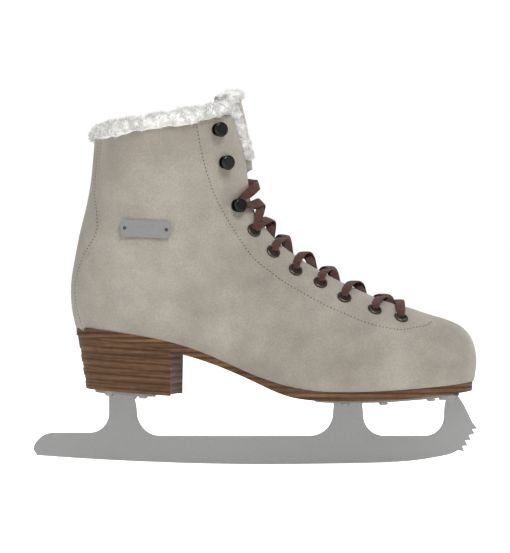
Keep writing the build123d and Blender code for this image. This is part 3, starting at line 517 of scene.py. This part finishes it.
def lace_fabric():
    made, tree, shader = material("lace_weave")
    ribs = tree.nodes.new("ShaderNodeTexWave")
    ribs.bands_direction = "Y"
    ribs.inputs["Scale"].default_value = 7.0
    ribs.inputs["Distortion"].default_value = 0.6
    coords = tree.nodes.new("ShaderNodeTexCoord")
    tree.links.new(coords.outputs["UV"], ribs.inputs["Vector"])
    cross = tree.nodes.new("ShaderNodeTexWave")
    cross.bands_direction = "X"
    cross.inputs["Scale"].default_value = 22.0
    cross.inputs["Distortion"].default_value = 1.5
    tree.links.new(coords.outputs["UV"], cross.inputs["Vector"])
    stripes = ramp(tree, ribs.outputs["Fac"], [(0.2, (0.050, 0.018, 0.012)), (0.8, (0.175, 0.068, 0.046))])
    patches = ramp(tree, noise(tree, 160, 4), [(0.35, (0.75, 0.72, 0.70)), (0.65, (1.15, 1.02, 0.98))])
    tree.links.new(multiply(tree, stripes, patches), shader.inputs["Base Color"])
    shader.inputs["Roughness"].default_value = 0.8
    shader.inputs["Specular IOR Level"].default_value = 0.25
    shader.inputs["Sheen Weight"].default_value = 0.08
    bump(tree, shader, [(ribs.outputs["Fac"], 0.8), (cross.outputs["Fac"], 0.35)], 0.0005)
    return made


def stacked_leather(name, tilt_deg, pitch):
    """Waxed edges of stacked leather: fine layers across the stack, streaks along it."""
    made, tree, shader = material(name)
    coords = tree.nodes.new("ShaderNodeTexCoord")
    mapping = tree.nodes.new("ShaderNodeMapping")
    mapping.inputs["Rotation"].default_value = (0, math.radians(-tilt_deg), 0)
    tree.links.new(coords.outputs["Object"], mapping.inputs["Vector"])
    layers = tree.nodes.new("ShaderNodeTexWave")
    layers.bands_direction = "Z"
    layers.inputs["Scale"].default_value = 2 * math.pi * 1000.0 / (20.0 * pitch)
    layers.inputs["Distortion"].default_value = 0.25
    layers.inputs["Detail"].default_value = 1.0
    tree.links.new(mapping.outputs["Vector"], layers.inputs["Vector"])
    streaks = noise(tree, 60, 5, (0.35, 0.35, 9))
    base = ramp(tree, streaks, [(0.32, (0.070, 0.033, 0.014)), (0.5, (0.108, 0.054, 0.024)),
                                (0.68, (0.160, 0.086, 0.042))])
    lines = ramp(tree, layers.outputs["Fac"], [(0.02, (0.55, 0.52, 0.49)), (0.30, (0.96, 0.96, 0.96)),
                                               (0.9, (1.18, 1.15, 1.10))])
    scuffs = ramp(tree, noise(tree, 240, 4), [(0.35, (0.84, 0.83, 0.82)), (0.65, (1.08, 1.07, 1.05))])
    tree.links.new(multiply(tree, multiply(tree, base, lines), scuffs), shader.inputs["Base Color"])
    shader.inputs["Roughness"].default_value = 0.6
    shader.inputs["Specular IOR Level"].default_value = 0.25
    bump(tree, shader, [(layers.outputs["Fac"], 0.4), (streaks, 0.2), (noise(tree, 600, 3), 0.1)], 0.0006)
    return made


def steel(name, shade=0.55, roughness=0.34, stretch=(1, 1, 1), wear=0.12):
    made, tree, shader = material(name)
    grain = noise(tree, 420, 4, stretch)
    tree.links.new(ramp(tree, grain, [(0.3, (shade * (1 - wear),) * 3),
                                      (0.7, (shade, shade, shade * 0.985))]),
                   shader.inputs["Base Color"])
    shader.inputs["Metallic"].default_value = 1.0
    rough = tree.nodes.new("ShaderNodeMapRange")
    rough.inputs["To Min"].default_value = roughness - 0.08
    rough.inputs["To Max"].default_value = roughness + 0.12
    tree.links.new(noise(tree, 40, 4, stretch), rough.inputs["Value"])
    tree.links.new(rough.outputs["Result"], shader.inputs["Roughness"])
    bump(tree, shader, [(grain, 0.12)], 0.0003)
    return made


def gunmetal(name, low=(0.014, 0.014, 0.015), high=(0.045, 0.043, 0.040), roughness=0.2):
    made, tree, shader = material(name)
    tree.links.new(ramp(tree, noise(tree, 700, 3), [(0.3, low), (0.75, high)]), shader.inputs["Base Color"])
    shader.inputs["Metallic"].default_value = 0.85
    shader.inputs["Roughness"].default_value = roughness
    bump(tree, shader, [(noise(tree, 300, 3), 0.08)], 0.0003)
    return made


# Near-black colour: painted shade for the insides of stitch holes and eyelet holes.
def painted_shade_finish():
    made, tree, shader = material("painted_hole_shade")
    tree.links.new(ramp(tree, noise(tree, 500, 2), [(0.3, (0.004, 0.003, 0.003)),
                                                    (0.7, (0.02, 0.014, 0.012))]),
                   shader.inputs["Base Color"])
    shader.inputs["Roughness"].default_value = 0.9
    return made


def dress(obj, finish, replaced=(), body="boot"):
    obj.data.materials.clear()
    obj.data.materials.append(finish)
    if body:
        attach(obj, body)
    if replaced:
        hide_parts(*replaced)
    return obj


# ------------------------------------------------------------------ the upper
BOOT_MIDDLE = (-30.0, 0.0, 120.0)
UPPER_STATIONS = ([FOOT_START + v for v in (0.02, 0.15, 0.5, 1.0, 1.8, 2.8, 4.2, 6.0, 8.2, 11.0, 14.0,
                                            18.0, 23.0, 29.0, 35.0, 40.0)]
                  + list(np.linspace(THROAT_END, 0.0, 34)) + list(np.linspace(2.0, FAN_END, 46))
                  + list(np.linspace(FAN_END + 2.5, COLLAR, 17)))


def throat_at(s):
    """Half width of the throat at a station, 0 before the throat starts."""
    return throat_half(s) if s > THROAT_END else 0.0


def held_up(p, by=-2.0):
    """Keeps a point from sinking below the sole line."""
    p[2] = max(p[2], sole_height(p[0]) + by)
    return p


def build_upper():
    grid = []
    for s in UPPER_STATIONS:
        cut = section(s)
        start = front_angle(cut, s, throat_at(s)) if s > THROAT_END else 0.0
        angles = even_angles(s, start, 360.0 - start, 140)
        grid.append([held_up(ring_point(cut, s, a)) for a in angles])
    grid.insert(0, [np.mean(grid[0], axis=0)] * len(grid[0]))
    obj = grid_mesh("upper", grid)
    weld(obj)
    face_out(obj, BOOT_MIDDLE)
    thicken(obj, 2.2)
    return dress(obj, suede("suede_upper", (0.362, 0.328, 0.282), (0.283, 0.252, 0.212)),
                 ("vamp", "quarter_lateral", "quarter_medial"))


STRIP_EDGE = [(-121.2, 91.0), (-123.7, 99.4), (-125.8, 109.5), (-125.0, 122.8), (-122.5, 132.0),
              (-114.9, 142.0), (-111.2, 150.4), (-110.4, 160.5), (-112.5, 173.0), (-112.7, 186.0),
              (-111.3, 202.4), (-109.4, 212.9)]


def strip_edge_angle():
    pairs = sorted((station_of(x, z), angle_at(station_of(x, z), x, z)) for x, z in STRIP_EDGE)
    return through(pairs)


def build_back_strip():
    edge = strip_edge_angle()
    grid = []
    for s in np.linspace(49.0, COLLAR - 0.3, 80):
        angles = even_angles(s, edge(s), 360.0 - edge(s), 40)
        row = []
        for k, a in enumerate(angles):
            rim = min(k, len(angles) - 1 - k)
            row.append(held_up(surface(s, a, -1.1 if rim > 1 else (-0.9 if rim == 1 else 0.3))))
        grid.append(row)
    obj = grid_mesh("back_strip_cover", grid)
    face_out(obj, BOOT_MIDDLE)
    return dress(obj, suede("suede_strip", (0.352, 0.318, 0.272), (0.262, 0.232, 0.190)),
                 ("back_strip",))


STITCH_LINE = [(-50.1, 226.6), (-46.6, 207.0), (-42.9, 191.3), (-36.4, 172.9), (-26.5, 155.2),
               (-13.8, 136.4), (-2.5, 126.6), (8.8, 118.4), (31.4, 105.6), (46.4, 98.8), (61.4, 92.8),
               (76.4, 89.4), (84.8, 88.8), (92.2, 90.1), (98.2, 90.9), (102.5, 93.1)]


def stitch_places(line, side, lift, pitch=2.4):
    curve = sampled(line, 30)
    spots = np.array([seat(x, z, side, lift)[0] for x, z in curve])
    along = np.concatenate([[0.0], np.cumsum(np.linalg.norm(np.diff(spots, axis=0), axis=1))])
    threads, hole_shades = [], []
    for at in np.arange(0.5, along[-1], pitch):
        x, z = [np.interp(at, along, curve[:, k]) for k in (0, 1)]
        x2, z2 = [np.interp(at + 0.3, along, curve[:, k]) for k in (0, 1)]
        here, _, _, normal = seat(x, z, side, lift)
        ahead = seat(x2, z2, side, lift)[0] - here
        ahead /= np.linalg.norm(ahead)
        across = np.cross(normal, ahead)
        axes = np.stack([ahead, across, normal], axis=1)
        threads.append((here, axes, np.array([0.72, 0.30, 0.22])))
        # dark spot halfway to the next stitch: painted shade in the needle hole
        hole_shades.append((here + ahead * pitch / 2, axes, np.array([0.38, 0.36, 0.16])))
    return threads, hole_shades


def build_stitches():
    template, faces = ball()
    edge = strip_edge_angle()
    rear_line = []
    for s in np.linspace(52.0, COLLAR - 4.0, 16):
        p = surface(s, edge(s) + 4.0)
        rear_line.append((p[0], p[2]))
    threads, hole_shades = [], []
    for side in (-1, 1):
        for line, lift in ((STITCH_LINE, 0.05), (rear_line, 1.1)):
            a, b = stitch_places(line, side, lift)
            threads += a
            hole_shades += b
    thread = scatter("stitches", template, faces, threads)
    dress(thread, suede("thread_finish", (0.42, 0.385, 0.33), (0.30, 0.265, 0.215)))
    # near-black spots between the stitches, painted shade for the needle holes
    hole = scatter("stitch_hole_shades", template, faces, hole_shades)
    dress(hole, painted_shade_finish())


# ------------------------------------------------------------------ fleece
def build_lining():
    grid = []
    for s in list(np.linspace(18.0, FAN_END, 36)) + list(np.linspace(FAN_END + 3, COLLAR + 1.0, 14)):
        cut = section(s, 4.5)
        start = front_angle(cut, s, throat_half(s) + 1.5)
        angles = even_angles(s, start, 360.0 - start, 90, 4.5)
        grid.append([held_up(ring_point(cut, s, a), 3.0) for a in angles])
    obj = grid_mesh("lining", grid)
    face_out(obj, BOOT_MIDDLE)
    thicken(obj, 2.0, 1.0)
    return dress(obj, fleece("fleece_lining"), ("lining_lateral", "lining_medial"))


def roll_point(turn, around, swell=1.0):
    """Point on the collar's fleece roll.

    turn runs round the ankle from 0 to 1, and around is the roll's own angle.
    """
    s = COLLAR
    cut = section(s, 1.6)
    start = front_angle(cut, s, throat_half(s) + 0.5)
    angle = start + (360.0 - 2 * start) * turn
    centre = ring_point(cut, s, angle)
    outward = surface(s, angle, -1.0) - centre
    outward[2] = 0.0
    outward /= max(np.linalg.norm(outward), 1e-6)
    up = np.array([0.156, 0.0, 0.988])
    wave = 1.0 + 0.10 * math.sin(31 * turn) + 0.07 * math.sin(73 * turn + 1.3) + 0.05 * math.sin(151 * turn)
    near_end = min(turn, 1 - turn)
    end = min(1.0, near_end / 0.012) ** 0.5
    lifted = 3.0 * math.exp(-(near_end / 0.07) ** 2)
    return (centre + outward * math.cos(around) * 5.2 * wave * swell * end
            + up * (2.4 + lifted + math.sin(around) * 4.9 * wave * swell * end)), outward, up


def build_collar():
    """The fleece roll round the top, with its pile."""
    grid = []
    for turn in np.linspace(0.0, 1.0, 200):
        grid.append([roll_point(turn, 2 * math.pi * k / ROLL_SIDES)[0] for k in range(ROLL_SIDES)])
    roll = grid_mesh("collar_roll", grid, closed=True)
    face_out(roll, (-66.0, 0.0, 222.0))
    dress(roll, fleece("fleece_roll"), ("fur_collar",))
    roots, directions = [], []
    for _ in range(COLLAR_STRANDS):
        turn, around = rng.uniform(0.0, 1.0), rng.uniform(-0.9, math.pi + 0.9)
        p, outward, up = roll_point(turn, around, 0.93)
        clump = np.array([math.sin(210 * turn + 3 * around), math.cos(170 * turn - 2 * around),
                          math.sin(90 * turn)])
        roots.append(p)
        directions.append(outward * math.cos(around) + up * math.sin(around) + clump * 0.55
                          + rng.normal(size=3) * 0.25)
    fur = strands("collar_pile", np.array(roots), np.array(directions), 3.4)
    return dress(fur, fleece("fleece_pile", (0.96, 0.95, 0.93)))


# ------------------------------------------------------------------ the tongue
def tongue_size(s):
    """Half width and outer depth of the tongue at a station."""
    if s <= HINGE - 3.0:
        return tongue_half(s), tongue_inset(s)
    rounding = max(s - COLLAR, 0.0) / (TONGUE_TOP - COLLAR)
    half = (throat_half(s) - 1.6) * math.sqrt(1 - (0.80 * rounding) ** 3)
    return min(half, 30.0), 0.6


def tongue_ring(s, depth, thickness, narrower, count=40):
    half, inset = tongue_size(s)
    half = max(half - narrower, 2.0)
    ring = []
    for k in range(count):
        a = 2 * math.pi * k / count
        across = math.copysign(abs(math.cos(a)) ** 0.55, math.cos(a)) * half
        inward = thickness / 2 * (1 - math.copysign(abs(math.sin(a)) ** 0.8, math.sin(a)))
        ring.append(over_throat(s, across, -(inset + depth + inward)))
    return ring


def build_tongue():
    stations = list(np.linspace(TONGUE_ROOT, 80.0, 50)) + list(np.linspace(82.0, TONGUE_TOP, 38))
    start, end = surface(HINGE - 7.0, 0.0) * MM, surface(HINGE + 9.0, 0.0) * MM
    front = grid_mesh("tongue_front", [tongue_ring(s, 0.0, 4.0, 0.0) for s in stations], closed=True)
    face_out(front, (-20.0, 0.0, 150.0))
    back = grid_mesh("tongue_back", [tongue_ring(s, 3.4, 4.6, 0.8) for s in stations], closed=True)
    face_out(back, (-20.0, 0.0, 150.0))
    dress(front, suede("suede_tongue", (0.330, 0.296, 0.246), (0.262, 0.232, 0.190), 0.6),
          ("tongue_lower", "tongue_upper"), None)
    dress(back, fleece("fleece_tongue"), ("tongue_fleece",), None)
    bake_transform(front)
    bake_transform(back)
    roots, directions = [], []
    for _ in range(TONGUE_STRANDS):
        s = HINGE + 3.0 + (TONGUE_TOP - HINGE - 3.0) * rng.uniform(0, 1) ** 0.75
        half, inset = tongue_size(s)
        top = rng.uniform(0, 1) < 0.45
        if top:
            s = TONGUE_TOP - rng.uniform(0, 1.5)
            half, inset = tongue_size(s)
            across = rng.uniform(-1, 1) * half * 0.98
        else:
            across = rng.choice([-1, 1]) * half * rng.uniform(0.9, 1.0)
        depth = inset + rng.uniform(3.0, 7.0)
        p = over_throat(s, across, -depth)
        away = np.array([rng.uniform(-0.9, 0.9), across / max(half, 1.0) * (0.5 if top else 1.0),
                         1.2 if top else 0.3])
        roots.append(p)
        directions.append(away + rng.normal(size=3) * 0.35)
    fur = strands("tongue_pile", np.array(roots), np.array(directions), 3.2)
    dress(fur, fleece("fleece_tongue_pile", (0.96, 0.95, 0.93)), (), "tongue_top")


def trim_point(turn, around, swell=1.0):
    """Point on the fleece edge of the tongue's free end.

    turn runs up one side, over the top and down the other, and around is the roll's own angle.
    """
    up_share = 0.42
    low, top_half = HINGE + 4.0, tongue_size(TONGUE_TOP)[0]
    side = -1 if turn < 0.5 else 1
    climb = min(min(turn, 1 - turn) / up_share, 1.0)
    s = low + (TONGUE_TOP - low) * climb
    if climb < 1:
        v = side * (tongue_size(s)[0] - 2.4)
    else:
        v = (turn - 0.5) / (0.5 - up_share) * (top_half - 2.4)
    height = -1.0 - 2.0 * climb if climb < 1 else -6.0
    centre = over_throat(s, v, height)
    ahead = over_throat(s, v, height + 1.0) - centre
    across = np.array([0.0, float(side), 0.0]) if climb < 1 else np.array([0.1, 0.0, 1.0])
    wave = 1.0 + 0.12 * math.sin(67 * turn) + 0.08 * math.sin(151 * turn + 1.0)
    radius = 3.7 * wave * swell * min(1.0, climb / 0.08 + 0.15) ** 0.5
    deep = 1.0 if climb < 1 else 1.9
    forward = ahead * math.cos(around) * radius * deep
    return centre + forward + across * math.sin(around) * radius * 0.9, ahead, across


def build_tongue_trim():
    """The fleece roll along the edges of the tongue's free end, with its pile."""
    grid = []
    for turn in np.linspace(0.0, 1.0, 120):
        grid.append([trim_point(turn, 2 * math.pi * k / TRIM_SIDES)[0] for k in range(TRIM_SIDES)])
    roll = grid_mesh("tongue_trim", grid, closed=True)
    face_out(roll, (-24.0, 0.0, 215.0))
    dress(roll, fleece("fleece_trim"), (), "tongue_top")
    roots, directions = [], []
    for _ in range(TRIM_STRANDS):
        turn, around = rng.uniform(0.0, 1.0), rng.uniform(-2.2, 2.2)
        p, ahead, across = trim_point(turn, around, 0.92)
        clump = np.array([math.sin(130 * turn + 3 * around), math.cos(170 * turn),
                          math.sin(90 * turn - 2 * around)])
        roots.append(p)
        directions.append(ahead * math.cos(around) + across * math.sin(around) + clump * 0.5
                          + rng.normal(size=3) * 0.25)
    fur = strands("tongue_trim_pile", np.array(roots), np.array(directions), 3.0)
    dress(fur, fleece("fleece_trim_pile", (0.96, 0.95, 0.93)), (), "tongue_top")


# ------------------------------------------------------------------ laces
LACE_W, LACE_T = 6.5, 1.25          # width and thickness
LACE_SIDES = 14                     # points round a ribbon


def ribbon_mesh(name_points, width):
    """Rings of a flat lace along a path of (station, across, height, width share)."""
    knots = np.linspace(0.0, 1.0, len(name_points))
    track = [through(list(zip(knots, [p[k] for p in name_points]))) for k in range(4)]
    fine = np.linspace(0.0, 1.0, 9 * len(name_points))
    centres = np.array([over_throat(track[0](t), track[1](t), track[2](t)) for t in fine])
    above = np.array([over_throat(track[0](t), track[1](t), track[2](t) + 1.0) for t in fine])
    rings, distance = [], 0.0
    uv = []
    for k in range(len(fine)):
        ahead = centres[min(k + 1, len(fine) - 1)] - centres[max(k - 1, 0)]
        ahead /= np.linalg.norm(ahead)
        across = np.cross(above[k] - centres[k], ahead)
        across /= np.linalg.norm(across)
        up = np.cross(ahead, across)
        w = width * track[3](fine[k]) / 2
        if k:
            distance += np.linalg.norm(centres[k] - centres[k - 1])
        ring = []
        for j in range(LACE_SIDES):
            a = 2 * math.pi * j / LACE_SIDES
            side = math.copysign(abs(math.cos(a)) ** 0.6, math.cos(a))
            rise = math.copysign(abs(math.sin(a)) ** 0.6, math.sin(a)) * (1 - 0.15 * side * side)
            ring.append(centres[k] + across * w * side + up * LACE_T / 2 * rise)
            uv.append((distance / 10.0, side * w / 10.0))
        rings.append(ring)
    return rings, uv


def anchor(points, index):
    x, z = points[index]
    s = station_of(x, z)
    cut = section(s)
    return s, abs(ring_point(cut, s, angle_at(s, x, z))[1] - centre_y(s))


def crossing_path(side, start, end, over):
    (s0, v0), (s1, v1) = start, end
    edge = throat_half((s0 + s1) / 2)
    over_heights = (0.6, 2.1, 2.5, 2.4, 2.2, 1.4, -2.4, -3.6)
    under_heights = (0.6, 2.0, 1.6, 0.6, -0.2, -1.4, -3.2, -3.6)
    heights = over_heights if over else under_heights
    spots = (-v0 - 0.3, -v0 + 2.4, -edge - 0.5, -0.5 * edge, 0.0, 0.5 * edge, edge - 0.7, v1 - 3.0)
    widths = (0.72, 0.92, 1.05, 1.05, 1.05, 1.0, 1.0, 1.0)
    return [(s0 + (v + v0) / (v0 + v1) * (s1 - s0), side * v, h, w)
            for v, h, w in zip(spots, heights, widths)]


def hook_path(side, start, hook, over):
    """From the top eyelet across to the lowest hook, round it, and back over the tongue."""
    (s0, v0), (sh, vh) = start, hook
    lift = 1.4 if over else 0.0
    edge = throat_half(45.0)
    path = [(s0, -v0 - 0.3, 0.6, 0.72), (s0 + 1.5, -v0 + 2.4, 2.1, 0.9),
            (s0 + 6.0, -edge, 2.3 + lift * 0.4, 1.0),
            (s0 + 13.0, 0.0, 0.8 + lift, 1.0), (sh - 10.0, edge, 2.6, 1.0), (sh - 4.5, vh - 1.5, 3.0, 0.85),
            (sh - 0.5, vh + 3.4, 3.0, 0.7), (sh + 4.0, vh - 0.5, 3.0, 0.85), (sh + 9.0, edge, 2.4, 1.0),
            (sh + 13.5, 0.0, 0.8 + lift, 1.0), (sh + 17.0, -0.6 * edge, -0.4, 1.0),
            (sh + 19.0, -edge + 0.4, -2.8, 1.0),
            (sh + 20.5, -edge - 6.0, -3.8, 1.0)]
    return [(s, side * v, h, w) for s, v, h, w in path]


def build_laces():
    anchors = [anchor(EYELETS, k) for k in range(len(EYELETS))]
    hook = anchor(HOOKS, 2)
    s, v = anchors[-1]
    paths = [[(s, -v - 0.3, 0.6, 0.62), (s, -v + 2.4, 2.3, 0.9), (s, -v / 2, 2.6, 1.0), (s, 0.0, 2.3, 1.0),
              (s, v / 2, 2.6, 1.0), (s, v - 2.4, 2.3, 0.9), (s, v + 0.3, 0.6, 0.62)]]
    for k in range(len(anchors) - 1):
        over = 1 if k % 2 == 0 else -1
        for side in (-1, 1):
            paths.append(crossing_path(side, anchors[k], anchors[k + 1], side == over))
    for side in (-1, 1):
        paths.append(hook_path(side, anchors[0], hook, side == -1))
    points, faces, uv = [], [], []
    for path in paths:
        rings, ring_uv = ribbon_mesh(path, LACE_W)
        base = len(points)
        for ring in rings:
            points += ring
        uv += ring_uv
        for i in range(len(rings) - 1):
            for j in range(LACE_SIDES):
                k = (j + 1) % LACE_SIDES
                near, far = base + i * LACE_SIDES, base + (i + 1) * LACE_SIDES
                faces.append((near + j, near + k, far + k, far + j))
    obj = make_mesh("lace_ribbons", points, faces, uv)
    return dress(obj, lace_fabric(), ("laces",))


def disc(radius, height, count=24):
    ring = [(radius * math.cos(2 * math.pi * k / count), radius * math.sin(2 * math.pi * k / count), height)
            for k in range(count)]
    return np.array([(0, 0, height)] + ring), [(0, 1 + k, 1 + (k + 1) % count) for k in range(count)]


def torus(major, minor, flat, count=32, sides=10):
    points, faces = [], []
    for i in range(count):
        a = 2 * math.pi * i / count
        for j in range(sides):
            b = 2 * math.pi * j / sides
            r = major + minor * math.cos(b)
            points.append((r * math.cos(a), r * math.sin(a), flat * math.sin(b)))
            near, far, k = i * sides, (i + 1) % count * sides, (j + 1) % sides
            faces.append((near + j, far + j, far + k, near + k))
    return np.array(points), faces


def build_eyelet_rings():
    """Rolled eyelets, each with a near-black disc across its hole as painted shade."""
    ring, ring_faces = torus(3.75, 0.98, 0.85)
    # the flat dark disc in each ring is painted shade for the hole's inside
    hole, hole_faces = disc(3.0, 0.15)
    for side, name in ((-1, "lateral"), (1, "medial")):
        rings, hole_shades = [], []
        for x, z in EYELETS:
            here, to_throat, _, normal = seat(x, z, side, 0.45)
            axes = np.stack([to_throat, np.cross(normal, to_throat), normal], axis=1)
            rings.append((here, axes, np.ones(3)))
            hole_shades.append((here, axes, np.ones(3)))
        dress(scatter("eyelet_rings_" + name, ring, ring_faces, rings), eyelet_metal_and_highlight,
              ("eyelets_" + name,))
        dress(scatter("eyelet_hole_shades_" + name, hole, hole_faces, hole_shades), hole_shade_finish)


# ------------------------------------------------------------------ hard parts from the frame
def finish_node(name, finish):
    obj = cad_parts[name]
    obj.data.materials.clear()
    obj.data.materials.append(finish)


gunmetal_finish = gunmetal("gunmetal_finish")
# Eyelet colour: gunmetal tone made lighter and warmer than the hooks' as a painted highlight on the rims.
eyelet_metal_and_highlight = gunmetal("eyelet_metal_and_highlight", (0.045, 0.038, 0.028), (0.12, 0.10, 0.075), 0.28)
# near-black finish of the eyelet hole discs and stitch-hole spots: painted shade
hole_shade_finish = painted_shade_finish()
build_upper()
build_back_strip()
build_stitches()
build_lining()
build_collar()
build_tongue()
build_tongue_trim()
build_laces()
build_eyelet_rings()
for node in ("hooks_lateral", "hooks_medial"):
    finish_node(node, gunmetal_finish)
finish_node("blade", steel("blade_finish", 0.37, 0.34, (1, 1, 12)))
plate_finish = steel("plate_finish", 0.30, 0.38)
for node in ("sole_plate", "heel_plate"):
    finish_node(node, plate_finish)
screw_finish = steel("screw_finish", 0.36, 0.3)
for node in ("sole_plate_screws", "heel_plate_screws"):
    finish_node(node, screw_finish)
badge_finish = steel("badge_finish", 0.34, 0.42, (1, 1, 6))
finish_node("badge_plate", badge_finish)
finish_node("badge_rivets", steel("rivet_finish", 0.10, 0.35))
finish_node("outsole", stacked_leather("sole_edge", 0.0, 3.2))
finish_node("heel_lifts", stacked_leather("heel_edge", LIFT_SLOPE_DEG, LIFT_PITCH))
finish_node("footbed", fleece("fleece_bed", (0.80, 0.78, 0.73)))


# ------------------------------------------------------------------ studio
def area_light(name, at, size, power, target=(-10.0, 0.0, 120.0)):
    data = bpy.data.lights.new(name, "AREA")
    data.shape, data.size, data.energy = "DISK", size, power
    obj = bpy.data.objects.new(name, data)
    bpy.context.scene.collection.objects.link(obj)
    place = np.array(at) * MM
    obj.location = place
    aim = bpy.data.objects.new(name + "_aim", None)
    aim.location = np.array(target) * MM
    bpy.context.scene.collection.objects.link(aim)
    track = obj.constraints.new("TRACK_TO")
    track.target, track.track_axis, track.up_axis = aim, "TRACK_NEGATIVE_Z", "UP_Y"
    return obj


def build_studio():
    reach = 6000.0
    corners = [(x * reach, y * reach, -0.3) for x, y in ((-1, -1), (1, -1), (1, 1), (-1, 1))]
    floor = make_mesh("floor", corners, [(0, 1, 2, 3)])
    made, tree, shader = material("floor_finish")
    shader.inputs["Base Color"].default_value = (0.92, 0.92, 0.92, 1)
    shader.inputs["Roughness"].default_value = 0.8
    shader.inputs["Emission Color"].default_value = (1, 1, 1, 1)
    camera_ray = tree.nodes.new("ShaderNodeLightPath").outputs["Is Camera Ray"]
    glow = tree.nodes.new("ShaderNodeMapRange")
    glow.inputs["To Min"].default_value = 0.4
    glow.inputs["To Max"].default_value = 0.85
    tree.links.new(camera_ray, glow.inputs["Value"])
    tree.links.new(glow.outputs["Result"], shader.inputs["Emission Strength"])
    floor.data.materials.append(made)
    world = bpy.data.worlds.new("studio")
    world.use_nodes = True
    tree = world.node_tree
    back = tree.nodes["Background"]
    back.inputs["Color"].default_value = (1.0, 1.0, 1.0, 1)
    back.inputs["Strength"].default_value = 0.42
    seen = tree.nodes.new("ShaderNodeBackground")
    seen.inputs["Color"].default_value = (1.0, 1.0, 1.0, 1)
    seen.inputs["Strength"].default_value = 1.0
    path = tree.nodes.new("ShaderNodeLightPath")
    mix = tree.nodes.new("ShaderNodeMixShader")
    tree.links.new(path.outputs["Is Camera Ray"], mix.inputs["Fac"])
    tree.links.new(back.outputs["Background"], mix.inputs[1])
    tree.links.new(seen.outputs["Background"], mix.inputs[2])
    tree.links.new(mix.outputs["Shader"], tree.nodes["World Output"].inputs["Surface"])
    bpy.context.scene.world = world
    area_light("key", (450, -1150, 1250), 0.7, 15)
    area_light("fill", (-1000, -800, 400), 1.0, 3)
    area_light("back", (300, 900, 900), 0.8, 7)


def build_camera():
    """Level view of the outer side from 1.6 m."""
    bpy.context.scene.view_settings.view_transform = "Standard"
    data = bpy.data.cameras.new("photo_view")
    data.sensor_fit = "VERTICAL"
    data.sensor_height = 24.0
    data.lens = data.sensor_height * CAMERA_DISTANCE / VIEW_HEIGHT
    camera = bpy.data.objects.new("photo_view", data)
    camera.location = (-0.01146, -CAMERA_DISTANCE * MM, 0.1228)
    camera.rotation_euler = (math.radians(90), 0, 0)
    bpy.context.scene.collection.objects.link(camera)
    bpy.context.scene.camera = camera


build_studio()
build_camera()
